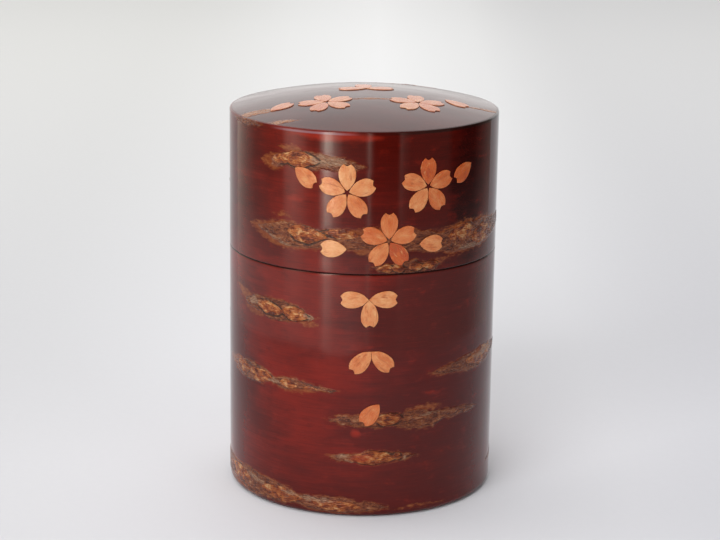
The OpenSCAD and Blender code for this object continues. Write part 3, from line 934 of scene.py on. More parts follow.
def petal_chip(ring):
    """Points of one petal as x, y and height over the bark, pointing along +Y from its base."""
    length = petal_length(ring)
    apex = ring.gap / 2 / math.sin(ring.share / 2) if ring.share else 0.0
    start = max(0.0, apex - ring.eye) if ring.share else 0.0
    s = 0.5 - 0.5 * np.cos(np.linspace(BASE_START, math.pi, PETAL_ROWS))
    t = np.sin(np.linspace(-math.pi / 2, math.pi / 2, PETAL_COLUMNS))
    s, t = np.meshgrid(s, t, indexing="ij")
    y = start + s * (length - start - PETAL_NOTCH * (1 - np.abs(t)))
    half = petal_half_width(y, length)
    if ring.share:
        half = np.minimum(half, np.maximum(y + ring.eye - apex, BASE_LEAST) * math.tan(ring.share / 2))
    x = t * half
    to_edge = np.minimum((1 - np.abs(t)) * half, (1 - s) * length)
    inset = np.clip(to_edge / PETAL_SOFT_EDGE, 0, 1)
    rounded = PETAL_SOFT_EDGE * (1 - np.sqrt(1 - (1 - inset) ** 2))
    crowned = PETAL_CROWN * (1 - t * t) * np.sin(math.pi * np.clip(s, 0.05, 0.95))
    vein = VEIN_DEPTH * np.exp(-(x / VEIN_REACH) ** 2)
    vein = vein * smooth_step(0.05, 0.3, s) * smooth_step(1.0, 0.7, s)
    return x.ravel(), y.ravel(), (PETAL_T - rounded + crowned - vein).ravel()


print("points on one side of a petal:", len(petal_chip(WHOLE)[0]))

# %% [markdown]
# ## Closing a petal
#
# A chip has a top, an underside and a thin cut edge. A Solidify modifier could give the thickness, but
# the underside has to lie flat on the bark while the top is crowned. So both sides use the same grid of
# points, the underside with its faces turned over, and a strip of faces round the rim joins them.


# %% Faces of a petal
def grid_faces(start, flip):
    """The faces of one side of a petal, turned over for its underside."""
    faces = []
    for row in range(PETAL_ROWS - 1):
        for column in range(PETAL_COLUMNS - 1):
            a = start + row * PETAL_COLUMNS + column
            quad = [a, a + 1, a + PETAL_COLUMNS + 1, a + PETAL_COLUMNS]
            faces.append(quad[::-1] if flip else quad)
    return faces


def rim_faces(start, below):
    """The upright edge between a petal's top and its underside."""
    last = (PETAL_ROWS - 1) * PETAL_COLUMNS
    ring = list(range(PETAL_COLUMNS))
    ring += [row * PETAL_COLUMNS + PETAL_COLUMNS - 1 for row in range(1, PETAL_ROWS)]
    ring += [last + column for column in range(PETAL_COLUMNS - 2, -1, -1)]
    ring += [row * PETAL_COLUMNS for row in range(PETAL_ROWS - 2, 0, -1)]
    pairs = zip(ring, ring[1:] + ring[:1])
    return [[start + a, below + a, below + b, start + b] for a, b in pairs]


print("faces of a petal:", len(grid_faces(0, False)), "on each side,", len(rim_faces(0, 0)), "round its rim")

# %% [markdown]
# ## Laying the petals
#
# The real chips bend when they are glued on. A Shrinkwrap modifier could press them to the bark, but the
# wall is a plain cylinder and the crown a plain sphere, so the bending is a line or two of arithmetic:
# wrap round the wall, or lift along the sphere's radius. The places are those of the solids that the
# petals stand for.

# %% Laying petals on the wall and the crown
GRAIN_STEP = 7.0
GRAIN_BY_TINT = 40


def lay_on_wall(x, y, height):
    turn = x / OUTER_R
    r = OUTER_R + GLUE_LINE + height
    return np.stack([r * np.sin(turn), -r * np.cos(turn), SEAM_Z + y], -1)


def lay_on_crown(x, y, height):
    outward = np.stack([x, y, np.sqrt(CROWN_R ** 2 - x * x - y * y)], -1) / CROWN_R
    return outward * (CROWN_R + GLUE_LINE + height)[:, None] + np.array([0, 0, CROWN_CENTRE_Z])


def petal_group(group):
    """A blossom, a part of one or a loose petal: one closed chip for each petal."""
    lay = lay_on_wall if group.surface == "wall" else lay_on_crown
    points, faces, tints, leaves = [], [], [], []
    for order, (direction, tint) in enumerate(group.petals):
        x, y, height = petal_chip(group.ring)
        turn = math.radians(direction)
        outward = y + group.ring.eye
        place_x = group.place[0] * BLOSSOM_R + x * math.cos(turn) + outward * math.sin(turn)
        place_y = group.place[1] * BLOSSOM_R + outward * math.cos(turn) - x * math.sin(turn)
        count = len(x)
        start = 2 * count * order
        points.append(lay(place_x, place_y, height))
        points.append(lay(place_x, place_y, np.zeros(count)))
        faces += grid_faces(start, False)
        faces += grid_faces(start + count, True)
        faces += rim_faces(start, start + count)
        tints.append(np.full(2 * count, tint))
        leaf = np.stack([x, y, np.full(count, GRAIN_STEP * order + GRAIN_BY_TINT * tint)], -1)
        leaves.append(np.tile(leaf, (2, 1)))
    fields = {"tint": np.concatenate(tints), "leaf": np.concatenate(leaves)}
    piece = new_piece("petals_" + group.name, np.concatenate(points), faces, fields, sharp=50)
    stand_for(piece, group.body, group.name)
    return piece


petals = [petal_group(group) for group in LAYOUT]
print("petal pieces:", len(petals), "faces:", sum(len(piece.data.polygons) for piece in petals))

# %% [markdown]
# ## A small kit for finishes
#
# Every finish here is a graph of nodes. It could be drawn in the shader editor, but a script is easier to
# repeat and to read. These helpers add a node, set or link its inputs and hand back its output, so that a
# finish reads like a recipe. Numbers that don't vary are set straight on the sockets.


# %% Node helpers
class Recipe:
    """Builds one material, node by node."""

    def __init__(self, name, surface="BsdfPrincipled"):
        self.material = bpy.data.materials.new(name)
        self.material.use_nodes = True
        self.tree = self.material.node_tree
        self.tree.nodes.clear()
        self.shader = self.tree.nodes.new("ShaderNode" + surface)
        output = self.tree.nodes.new("ShaderNodeOutputMaterial")
        self.tree.links.new(self.shader.outputs[0], output.inputs["Surface"])

    def put(self, socket, value):
        if isinstance(value, bpy.types.NodeSocket):
            self.tree.links.new(value, socket)
        else:
            socket.default_value = value

    def node(self, kind, inputs, output=0, **settings):
        node = self.tree.nodes.new("ShaderNode" + kind)
        for key, value in settings.items():
            setattr(node, key, value)
        for key, value in inputs.items():
            self.put(node.inputs[key], value)
        return node.outputs[output]

    def math(self, operation, a, b=0.0, c=0.0):
        return self.node("Math", {0: a, 1: b, 2: c}, operation=operation)

    def field(self, name, output="Fac"):
        return self.node("Attribute", {}, output, attribute_name=name)

    def stretch(self, vector, scale):
        return self.node("VectorMath", {0: vector, 1: scale}, operation="MULTIPLY")

    def noise(self, vector, scale=1.0, detail=3.0, rough=0.55, distort=0.0):
        inputs = {"Vector": vector, "Scale": scale, "Detail": detail}
        inputs.update({"Roughness": rough, "Distortion": distort})
        return self.node("TexNoise", inputs, "Fac")

    def step(self, value, low, high, out_low=0.0, out_high=1.0):
        inputs = {"Value": value, "From Min": low, "From Max": high, "To Min": out_low, "To Max": out_high}
        return self.node("MapRange", inputs, "Result", interpolation_type="SMOOTHSTEP")

    def mix(self, factor, a, b, blend="MIX"):
        node = self.tree.nodes.new("ShaderNodeMix")
        node.data_type = "RGBA"
        node.blend_type = blend
        self.put(node.inputs["Factor"], factor)
        for key, colour in (("A", a), ("B", b)):
            socket = next(s for s in node.inputs if s.name == key and s.type == "RGBA")
            self.put(socket, colour if isinstance(colour, bpy.types.NodeSocket) else (*colour, 1))
        return next(s for s in node.outputs if s.type == "RGBA")

    def ramp(self, factor, stops):
        node = self.tree.nodes.new("ShaderNodeValToRGB")
        band = node.color_ramp
        while len(band.elements) < len(stops):
            band.elements.new(1.0)
        for element, (position, colour) in zip(band.elements, stops):
            element.position = position
            element.color = (*colour, 1)
        self.put(node.inputs["Fac"], factor)
        return node.outputs["Color"]

    def bump(self, height, distance, strength=1.0):
        inputs = {"Height": height, "Distance": distance * MM, "Strength": strength}
        return self.node("Bump", inputs, "Normal")

    def finish(self, **inputs):
        for key, value in inputs.items():
            self.put(self.shader.inputs[key.replace("_", " ")], value)
        return self.material


print("steps of a recipe:", [name for name in vars(Recipe) if not name.startswith("_")])

# %% [markdown]
# ## Where a point lies on the sheet
#
# Bark has a direction: its fibres and lines run round the trunk. So patterns need coordinates along the
# wall and up it, not in a box. A UV map could hold them, but the angle round the axis times the radius
# gives the same without one, and it jumps only at the back, just where the ends of the real sheet meet.


# %% Coordinates of bark
def turn_round_axis(recipe):
    """The angle round the canister's axis, from its front line, and the height."""
    place = recipe.node("TexCoord", {}, "Object")
    split = recipe.tree.nodes.new("ShaderNodeSeparateXYZ")
    recipe.put(split.inputs[0], place)
    front = recipe.math("MULTIPLY", split.outputs["Y"], -1.0)
    return recipe.math("ARCTAN2", split.outputs["X"], front), split.outputs["Z"]


def wall_millimetres(recipe):
    """Along the wall and up it, in millimetres."""
    turn, height = turn_round_axis(recipe)
    along = recipe.math("MULTIPLY", turn, OUTER_R)
    up = recipe.math("DIVIDE", height, MM)
    return recipe.node("CombineXYZ", {"X": along, "Y": up})


def flat_millimetres(recipe):
    """Across a flat or domed sheet, in millimetres."""
    place = recipe.node("TexCoord", {}, "Object")
    return recipe.stretch(place, (1 / MM, 1 / MM, 0.0))


print(f"once round the wall: {2 * math.pi * OUTER_R:.1f} mm")

# %% [markdown]
# ## The ground of the bark
#
# The polished ground is a deep mahogany red: slow clouds, fine lines along the fibres, streaks of painted
# shade and a few clear red spots, one of which is a painted highlight, with stains of orange under-bark
# beside the crusts. A painted picture could hold all this, but nodes stay sharp at any distance, and they
# follow the depths that the mesh carries.

# %% Finish: ground of the bark
CLOUD_TONES = [
    (0.32, (0.115, 0.0055, 0.0024)), (0.52, (0.155, 0.0078, 0.0032)), (0.70, (0.190, 0.0100, 0.0042)),
]
CLEAR_RED = (0.230, 0.0130, 0.0050)
DARK_PATCH_AND_PAINTED_SHADE_RED = (0.052, 0.0030, 0.0018)
DEEPEST_PAINTED_SHADE = (0.008, 0.0006, 0.0006)
DARK_LINE = (0.040, 0.0040, 0.0024)
GLOWING_RED_AND_PAINTED_HIGHLIGHT = (0.300, 0.0180, 0.0070)
UNDER_BARK = [(0.32, (0.120, 0.020, 0.006)), (0.50, (0.195, 0.046, 0.012)), (0.68, (0.265, 0.082, 0.023))]
PAINTED_SHADE_STREAKS = 34.0
GLOW_RAGGED = 2.0
STAIN_RAGGED = 2.4


def toned(colour, shade):
    return tuple(c * shade for c in colour)


def ragged_field(r, name, noise, swing):
    """A depth from the mesh, with its outline frayed by a noise."""
    return r.math("MULTIPLY_ADD", r.math("SUBTRACT", noise, 0.5), swing, r.field(name))


def bark_ground(r, sheet, shade):
    """The polished, deep red ground with clouds, lines, glowing spots, one a painted highlight, and painted
    shade.
    """
    slow = r.noise(r.stretch(sheet, (0.055, 0.09, 1)), detail=3)
    patchy = r.noise(r.stretch(sheet, (0.16, 0.3, 1)), detail=4, rough=0.6)
    lines = r.noise(r.stretch(sheet, (0.10, 3.4, 1)), detail=3, rough=0.65)
    streaky = r.noise(r.stretch(sheet, (0.07, 0.42, 1)), detail=4, rough=0.6)
    red = toned(CLEAR_RED, shade)
    dark_patch_and_painted_shade = toned(DARK_PATCH_AND_PAINTED_SHADE_RED, shade)
    cloud = ragged_field(r, "shade", streaky, PAINTED_SHADE_STREAKS)
    glow = ragged_field(r, "glow", patchy, GLOW_RAGGED)
    colour = r.ramp(slow, [(position, toned(tone, shade)) for position, tone in CLOUD_TONES])
    # Painted shade: the wide shades darken the ground, and their deepest parts darken it nearly to black.
    colour = r.mix(r.step(cloud, -8.0, 26.0, 0.0, 0.88), colour, dark_patch_and_painted_shade)
    colour = r.mix(r.step(cloud, 30.0, 60.0, 0.0, 0.8), colour, DEEPEST_PAINTED_SHADE)
    colour = r.mix(r.step(patchy, 0.54, 0.80, 0.0, 0.4), colour, red)
    colour = r.mix(r.step(patchy, 0.46, 0.26, 0.0, 0.4), colour, dark_patch_and_painted_shade)
    colour = r.mix(r.step(lines, 0.44, 0.66, 0.0, 0.28), colour, DARK_LINE)
    colour = r.mix(r.step(lines, 0.46, 0.28, 0.0, 0.15), colour, red)
    return r.mix(r.step(glow, -0.8, 1.2, 0.0, 0.6), colour, GLOWING_RED_AND_PAINTED_HIGHLIGHT), lines


def bark_stains(r, colour, fine):
    """Orange under-bark that shows through beside the rough places."""
    stain = ragged_field(r, "stain", fine, STAIN_RAGGED)
    return r.mix(r.step(stain, 0.0, 1.3, 0.0, 0.75), colour, r.ramp(fine, UNDER_BARK))


print("ground:", len(CLOUD_TONES), "tones of cloud,", len(UNDER_BARK), "of under-bark")

# %% [markdown]
# ## Crusts and eyes
#
# Seen close, a spindle is a bundle of fibres that part round a knot. Noise alone would look like gravel.
# The depth already has the spindle's shape, so a sine of the depth draws fibres which follow the outline,
# and a little noise in the sine's angle makes them wander. Tails are brown and dull. Eyes are orange,
# with lumps and a crescent of painted shadow beside them. Torn flakes lie as pale patches near the ends.

# %% Finish: tones of the rough bark
Tones = namedtuple("Tones", "eye tail")
FIBRE_TONES = Tones(
    eye=[(0.12, (0.075, 0.012, 0.005)), (0.36, (0.175, 0.031, 0.008)), (0.55, (0.255, 0.060, 0.013)),
         (0.76, (0.350, 0.108, 0.027)), (0.98, (0.480, 0.240, 0.100))],
    tail=[(0.10, (0.060, 0.013, 0.007)), (0.36, (0.112, 0.026, 0.011)), (0.58, (0.160, 0.042, 0.016)),
          (0.78, (0.225, 0.074, 0.028)), (0.98, (0.310, 0.145, 0.075))],
)
# Dark pits and the seam's line, and also painted shade on the shoulder and the painted shadow by each eye.
SOOT_AND_PAINTED_SHADE = (0.012, 0.004, 0.003)
CREAM = (0.285, 0.170, 0.104)
TAN = (0.370, 0.160, 0.065)
PALE_GRAIN = (0.380, 0.145, 0.050)
DARK_GRAIN = (0.036, 0.008, 0.004)
print("fibres:", len(FIBRE_TONES.eye), "tones in eyes,", len(FIBRE_TONES.tail), "in tails")

# %% [markdown]
# ## Drawing the fibres
#
# The layers of a crust are put together from the fibres up: brown tails and orange eyes, pale and dark
# grains, sooty pits between the fibres, cream curls on them, torn flakes and the crescent of painted
# shadow beside an eye. One noise could carry all of this in a single ramp, but separate layers can be
# tuned one at a time.
# The recipe hands back the colour, the crust's mask, the smear round it and its height for the bump.

# %% Finish: fibres of the rough bark
FIBRE_TURN = 11.0
TAIL_SWING = 12.0
EYE_SWING = 7.0
LINE_SHARE = 0.07
CRUST_RAGGED = 1.3
EYE_RAGGED = 0.5
FLAKE_RAGGED = 2.4
LINE_RISE = 0.12
DIP_UNDER_PAINTED_SHADOW = 0.3


def fibres(r, depth, wander, swing):
    """Lines from -1 to 1 that follow the outline of a spindle."""
    return r.math("SINE", r.math("MULTIPLY_ADD", depth, FIBRE_TURN, r.math("MULTIPLY", wander, swing)))


def bark_crust(r, sheet, fine, torn_tone):
    """Crusts with their eyes: their colour, where they lie, their smears and their height."""
    wander = r.noise(r.stretch(sheet, (0.30, 0.62, 1)), detail=2, distort=0.6)
    flakes = r.noise(r.stretch(sheet, (0.42, 1.05, 1)), detail=3, rough=0.6, distort=0.8)
    lumps = r.noise(r.stretch(sheet, (0.36, 0.62, 1)), detail=3, rough=0.55, distort=0.5)
    grains = r.noise(r.stretch(sheet, (1.0, 1.5, 1)), detail=2)
    crust = ragged_field(r, "crust", fine, CRUST_RAGGED)
    eye = ragged_field(r, "eye", fine, EYE_RAGGED)
    flake = ragged_field(r, "flake", fine, FLAKE_RAGGED)
    tail_lines = fibres(r, crust, wander, TAIL_SWING)
    eye_lines = fibres(r, eye, wander, EYE_SWING)
    tail_tone = r.math("MULTIPLY_ADD", tail_lines, LINE_SHARE, r.math("MULTIPLY_ADD", flakes, 2.2, -0.60))
    eye_tone = r.math("MULTIPLY_ADD", eye_lines, LINE_SHARE, r.math("MULTIPLY_ADD", lumps, 2.9, -0.92))
    in_eye = r.step(eye, -0.15, 0.35)
    colour = r.mix(in_eye, r.ramp(tail_tone, FIBRE_TONES.tail), r.ramp(eye_tone, FIBRE_TONES.eye))
    lines = r.node("Mix", {"Factor": in_eye, "A": tail_lines, "B": eye_lines}, "Result")
    pits = r.math("MULTIPLY", r.step(lines, -0.80, -0.99), r.step(flakes, 0.50, 0.41, 0.0, 0.75))
    curls = r.math("MULTIPLY", r.step(lines, 0.82, 0.99), r.step(fine, 0.54, 0.64, 0.0, 0.6))
    torn = r.math("MULTIPLY", r.step(flake, -0.35, 0.35), r.step(tail_lines, -0.6, 0.6, 0.3, 0.8))
    # A crescent of painted shadow beside each eye, with a dip in the bump under it.
    painted_shadow_beside_eye = r.step(r.math("ABSOLUTE", eye), 0.55, 0.12)
    rim = r.math("MULTIPLY", r.step(r.field("crescent"), 0.15, 0.5, 0.0, 0.8), painted_shadow_beside_eye)
    colour = r.mix(r.step(grains, 0.58, 0.70, 0.0, 0.40), colour, PALE_GRAIN)
    colour = r.mix(r.step(grains, 0.42, 0.32, 0.0, 0.60), colour, DARK_GRAIN)
    colour = r.mix(pits, colour, SOOT_AND_PAINTED_SHADE)
    colour = r.mix(r.math("MULTIPLY", curls, r.step(eye, -0.6, 0.2, 0.25, 1.0)), colour, CREAM)
    colour = r.mix(torn, colour, torn_tone)
    colour = r.mix(rim, colour, SOOT_AND_PAINTED_SHADE)
    mask = r.step(crust, -0.10, 0.28)
    smear = r.math("MULTIPLY", r.step(crust, -0.7, 0.0, 0.0, 0.6), r.step(flakes, 0.44, 0.60))
    sunken = r.math("SUBTRACT", flakes, r.math("MULTIPLY", rim, DIP_UNDER_PAINTED_SHADOW))
    height = r.math("MULTIPLY_ADD", lines, LINE_RISE, sunken)
    return colour, mask, smear, height


print(f"fibres: one line to each {2 * math.pi / FIBRE_TURN:.2f} mm of depth")

# %% [markdown]
# ## The seam and the painted shoulder
#
# Along the seam the polish never reaches the bottom of the joint, so a dark line stays. On the shoulder,
# a pale stretch at the left is a painted highlight and a dark stretch at the right is painted shade. Such
# tones could be painted on vertices, but the edges are level lines, so a height, a reach and a stretch
# along the wall describe them.

# %% Finish: worn edges
Edge = namedtuple("Edge", "up reach middle spread tone")
SEAM_EDGE = Edge(SEAM_Z, 0.45, 0, 1000, SOOT_AND_PAINTED_SHADE)
# The shoulder's tones: painted shade at the right and a painted highlight at the left.
SHOULDER_PAINTED_SHADE = Edge(SHOULDER_Z - 0.3, 0.8, 40, 46, SOOT_AND_PAINTED_SHADE)
SHOULDER_PAINTED_HIGHLIGHT = Edge(SHOULDER_Z - 0.62, 0.46, -15, 15, (0.235, 0.112, 0.125))


def dark_seam_and_painted_shoulder_light(r, sheet, colour, edges):
    """Tones the bark along its cut edges: a dark line in the seam, painted shade and a painted highlight."""
    split = r.tree.nodes.new("ShaderNodeSeparateXYZ")
    r.put(split.inputs[0], sheet)
    for edge in edges:
        away = r.math("ABSOLUTE", r.math("SUBTRACT", split.outputs["Y"], edge.up))
        aside = r.math("ABSOLUTE", r.math("SUBTRACT", split.outputs["X"], edge.middle))
        near = r.step(away, edge.reach, 0.3 * edge.reach, 0.0, 0.85)
        along = r.step(aside, edge.spread, 0.4 * edge.spread)
        colour = r.mix(r.math("MULTIPLY", near, along), colour, edge.tone)
    return colour


# The shoulder's tones are a painted highlight and painted shade.
print("worn edges: seam and shoulder, at", SEAM_EDGE.up, "and", round(SHOULDER_PAINTED_HIGHLIGHT.up, 1), "mm")

# %% [markdown]
# ## Polished bark
#
# The finish has layers, as the sheet has: the ground, its stains, a smear of brown round each crust, the
# crust itself and the edges, with a dark line in the seam and a painted highlight and painted shade on the
# shoulder. The ground is polished by hand to a gloss, and the crusts are only waxed, so roughness and bump
# follow the same depths. Three copies of a finish would soon differ, so one recipe makes the finish of all
# three sheets. The lid's ground is painted a little darker and the crown's much darker, as painted shade,
# and the crown's is also duller.

# %% Finish: polished bark
Sheet = namedtuple("Sheet", "name millimetres shade ior gloss torn edges")
SMEARED = (0.190, 0.046, 0.013)
CRUST_IN_PAINTED_SHADE = (0.055, 0.011, 0.005)
CRUST_IN_GLOW = (0.240, 0.026, 0.008)
WALL_GLOSS = (0.05, 0.09)
WALL_IOR = 1.33
CROWN_GLOSS = (0.16, 0.22)
CROWN_IOR = 1.5
LINE_HEIGHT = 0.006
BARK_BUMP = 0.28


def polished_bark(bark):
    r = Recipe(bark.name)
    sheet = bark.millimetres(r)
    fine = r.noise(r.stretch(sheet, (0.55, 1.10, 1)), detail=3, rough=0.6)
    ground, lines = bark_ground(r, sheet, bark.shade)
    ground = bark_stains(r, ground, fine)
    crust, mask, smear, flakes = bark_crust(r, sheet, fine, bark.torn)
    # Painted shade darkens the crusts too, where they lie in the wide shades.
    crust = r.mix(r.step(r.field("shade"), 0.0, 26.0, 0.0, 0.26), crust, CRUST_IN_PAINTED_SHADE)
    crust = r.mix(r.step(r.field("glow"), -0.2, 0.7, 0.0, 0.55), crust, CRUST_IN_GLOW)
    colour = r.mix(smear, ground, SMEARED)
    colour = r.mix(mask, colour, crust)
    colour = dark_seam_and_painted_shoulder_light(r, sheet, colour, bark.edges)
    smudge = r.noise(r.stretch(sheet, (0.07, 0.16, 1)), detail=3)
    gloss = r.step(smudge, 0.35, 0.7, *bark.gloss)
    waxed = r.math("MULTIPLY_ADD", fine, 0.20, 0.16)
    roughness = r.node("Mix", {"Factor": mask, "A": gloss, "B": waxed}, "Result")
    height = r.math("MULTIPLY_ADD", flakes, mask, r.math("MULTIPLY", lines, LINE_HEIGHT))
    return r.finish(Base_Color=colour, Roughness=roughness, Normal=r.bump(height, BARK_BUMP), IOR=bark.ior)


# The third number darkens the ground of a sheet: painted shade, a little on the lid and much on the crown.
BODY_SHEET = Sheet("polished_bark_body", wall_millimetres, 1.0, WALL_IOR, WALL_GLOSS, CREAM, [SEAM_EDGE])
LID_SHEET = Sheet("polished_bark_lid", wall_millimetres, 0.90, WALL_IOR, WALL_GLOSS, CREAM,
                  [SEAM_EDGE, SHOULDER_PAINTED_HIGHLIGHT, SHOULDER_PAINTED_SHADE])
CROWN_SHEET = Sheet("polished_bark_crown", flat_millimetres, 0.36, CROWN_IOR, CROWN_GLOSS, TAN, [])
for piece, bark in ((body_bark, BODY_SHEET), (lid_bark, LID_SHEET), (crown_bark, CROWN_SHEET)):
    finish = polished_bark(bark)
    piece.data.materials.append(finish)
    print("finish:", finish.name, len(finish.node_tree.nodes), "nodes")

# %% [markdown]
# ## Pale petals
#
# The chips are the inner side of the bark, dyed by nothing but their age. A material for each chip would
# be many to keep alike, so one recipe reads the tint that each petal carries, between peach and orange
# red. A grain runs from base to tip with a few darker streaks. The crown's petals get a painted sheen: a
# pale greyish tone is mixed in, which stands for the bright room that they mirror.

# %% Finish: petals
PETAL_TONES = [
    (0.0, (0.605, 0.285, 0.120)), (0.3, (0.535, 0.188, 0.065)), (0.55, (0.475, 0.126, 0.036)),
    (0.8, (0.430, 0.081, 0.015)), (1.0, (0.350, 0.055, 0.013)),
]
PETAL_STREAK = (0.300, 0.068, 0.015)
PETAL_LIGHT = (0.590, 0.300, 0.125)
PETAL_PAINTED_SHEEN = (0.440, 0.310, 0.270)
BLOTCH_SWING = 1.1
PETAL_BUMP = 0.06


def pale_petal(name, ior, painted_sheen):
    r = Recipe(name)
    leaf = r.field("leaf", "Vector")
    grain = r.noise(r.stretch(leaf, (1.5, 0.34, 1)), detail=4, rough=0.62, distort=0.5)
    blotch = r.noise(r.stretch(leaf, (0.5, 0.35, 1)), detail=3)
    colour = r.ramp(ragged_field(r, "tint", blotch, BLOTCH_SWING), PETAL_TONES)
    colour = r.mix(r.step(grain, 0.52, 0.70, 0.0, 0.7), colour, PETAL_STREAK)
    colour = r.mix(r.step(grain, 0.46, 0.30, 0.0, 0.40), colour, PETAL_LIGHT)
    colour = r.mix(painted_sheen, colour, PETAL_PAINTED_SHEEN)
    gloss = r.step(grain, 0.3, 0.7, 0.22, 0.34)
    return r.finish(Base_Color=colour, Roughness=gloss, Normal=r.bump(grain, PETAL_BUMP), IOR=ior)


petal_finish = {
    "wall": pale_petal("pale_petal_wall", 1.45, 0.0),
    # The crown's petals mix in the pale tone of a painted sheen.
    "crown": pale_petal("pale_petal_crown", 1.6, 0.22),
}
for group, piece in zip(LAYOUT, petals):
    piece.data.materials.append(petal_finish[group.surface])
print("finishes:", [finish.name for finish in petal_finish.values()])

# %% [markdown]
# ## Inside: thin bark
#
# Where the lids come off, the eye meets thinner bark with a satin wax. It shows the short pale dashes
# through which a young branch breathes. They could be modelled, but they are as flat as a pencil line, so
# a stretched noise draws them and a slight bump lets them catch the light.

# %% Finish: thin lining bark
LINING_TONES = [(0.3, (0.120, 0.034, 0.020)), (0.55, (0.190, 0.058, 0.030)), (0.75, (0.250, 0.085, 0.042))]
LINING_LINE = (0.085, 0.026, 0.016)
LINING_DASH = (0.42, 0.21, 0.10)
LINING_BUMP = 0.05


def lining_bark(name, millimetres):
    r = Recipe(name)
    sheet = millimetres(r)
    slow = r.noise(r.stretch(sheet, (0.05, 0.12, 1)), detail=3)
    lines = r.noise(r.stretch(sheet, (0.12, 3.4, 1)), detail=4, rough=0.65)
    dashes = r.noise(r.stretch(sheet, (0.35, 2.2, 1)), detail=2)
    colour = r.ramp(slow, LINING_TONES)
    colour = r.mix(r.step(lines, 0.42, 0.66, 0.0, 0.45), colour, LINING_LINE)
    colour = r.mix(r.step(dashes, 0.61, 0.69, 0.0, 0.7), colour, LINING_DASH)
    gloss = r.step(lines, 0.3, 0.7, 0.26, 0.42)
    height = r.math("MULTIPLY_ADD", r.step(dashes, 0.64, 0.74), 0.6, lines)
    return r.finish(Base_Color=colour, Roughness=gloss, Normal=r.bump(height, LINING_BUMP), IOR=1.5)


lining_on_wall = lining_bark("lining_bark_wall", wall_millimetres)
lining_on_disc = lining_bark("lining_bark_disc", flat_millimetres)
print("finishes:", lining_on_wall.name, "and", lining_on_disc.name)

# %% [markdown]
# ## Inside: rolled veneer
#
# The tubes under the bark are thin veneer, rolled and glued, and the boards are plain wood. Both show
# only at their edges, as pale end grain. Wood could be built ring by ring, but for a narrow edge a noise
# that is stretched along the grain is enough.

# %% Finish: rolled veneer
VENEER_TONES = [(0.3, (0.40, 0.20, 0.085)), (0.5, (0.56, 0.33, 0.15)), (0.7, (0.66, 0.43, 0.22))]
VENEER_FIBRE = (0.30, 0.14, 0.06)
VENEER_BUMP = 0.08


def solid_millimetres(recipe):
    """Inside a block of wood, in millimetres."""
    return recipe.stretch(recipe.node("TexCoord", {}, "Object"), (1 / MM, 1 / MM, 1 / MM))


def rolled_veneer():
    r = Recipe("rolled_veneer")
    wood = solid_millimetres(r)
    rings = r.noise(r.stretch(wood, (0.9, 0.9, 0.06)), detail=4, rough=0.6)
    grain = r.noise(r.stretch(wood, (5.0, 5.0, 0.25)), detail=3)
    colour = r.ramp(rings, VENEER_TONES)
    colour = r.mix(r.step(grain, 0.52, 0.72, 0.0, 0.4), colour, VENEER_FIBRE)
    gloss = r.step(grain, 0.3, 0.7, 0.45, 0.65)
    return r.finish(Base_Color=colour, Roughness=gloss, Normal=r.bump(grain, VENEER_BUMP))


veneer = rolled_veneer()
print("finish:", veneer.name, len(veneer.node_tree.nodes), "nodes")

# %% [markdown]
# ## Inside: the knob
#
# The knob is turned from cherry wood with its grain lying across, so the growth lines show as ovals on
# its top. A flat picture of wood would smear on the turned sides. Noise in space runs through the knob as
# the grain runs through the block, so it comes out right on every side.

# %% Finish: turned cherry knob
CHERRY_TONES = [(0.3, (0.140, 0.040, 0.018)), (0.5, (0.240, 0.085, 0.036)), (0.7, (0.330, 0.135, 0.060))]
CHERRY_PORE = (0.080, 0.024, 0.012)
CHERRY_BUMP = 0.04


def turned_knob():
    r = Recipe("turned_cherry")
    wood = solid_millimetres(r)
    growth = r.noise(r.stretch(wood, (0.06, 0.5, 0.5)), detail=4, rough=0.6, distort=0.6)
    pores = r.noise(r.stretch(wood, (0.35, 5.0, 5.0)), detail=3)
    colour = r.ramp(growth, CHERRY_TONES)
    colour = r.mix(r.step(pores, 0.58, 0.72, 0.0, 0.5), colour, CHERRY_PORE)
    gloss = r.step(pores, 0.3, 0.7, 0.20, 0.34)
    return r.finish(Base_Color=colour, Roughness=gloss, Normal=r.bump(pores, CHERRY_BUMP))


knob_finish = turned_knob()
print("finish:", knob_finish.name, len(knob_finish.node_tree.nodes), "nodes")

# %% [markdown]
# ## Finishes for the inner pieces
#
# The inner pieces are seen only when the lids are off. They could be built again as the bark was, but the
# packed solids have the right shape already, so they keep it and only get a finish. Rolled linings use
# the coordinates of the wall, and discs use flat ones.

# %% Give the inner nodes their finish
inner_finishes = {
    lining_on_wall: ["sleeve_lining", "spigot_bark", "lid_lining"],
    lining_on_disc: ["floor_lining", "lid_ceiling", "plug_lining", "inner_lid_bark", "base_bark"],
    veneer: ["body_core", "base_board", "inner_sleeve", "lid_core", "lid_board", "inner_lid_board",
             "inner_lid_plug"],
    knob_finish: ["inner_lid_knob"],
}
for finish, names in inner_finishes.items():
    for name in names:
        solid = frame["nodes"][name]
        solid.data.materials.clear()
        solid.data.materials.append(finish)
print("finished inner nodes:", sum(len(names) for names in inner_finishes.values()))

# %% [markdown]
# ## The table
#
# The canister stands on a white sweep, a paper that runs on behind it without an edge. A curved backdrop
# could be built, but a large flat floor under a bright sky looks the same from a low camera. Its tone is
# painted lighter and darker from left to right and from front to back, as painted light and shade, and the
# floor far in front is painted darker still.

# %% Floor
FLOOR_SIZE = 8.0
SWEEP_REACH = 0.16
SWEEP_PAINTED_LIGHT = [
    (0.0, (0.785, 0.785, 0.77)), (0.25, (0.88, 0.88, 0.875)), (0.55, (0.94, 0.94, 0.94)),
    (0.85, (0.85, 0.85, 0.85)), (1.0, (0.735, 0.735, 0.74)),
]
FRONT_PAINTED_SHADE = (0.0, 0.0, 0.10)
FAR_FRONT_PAINTED_SHADE = (0.0, 0.0, 0.0)


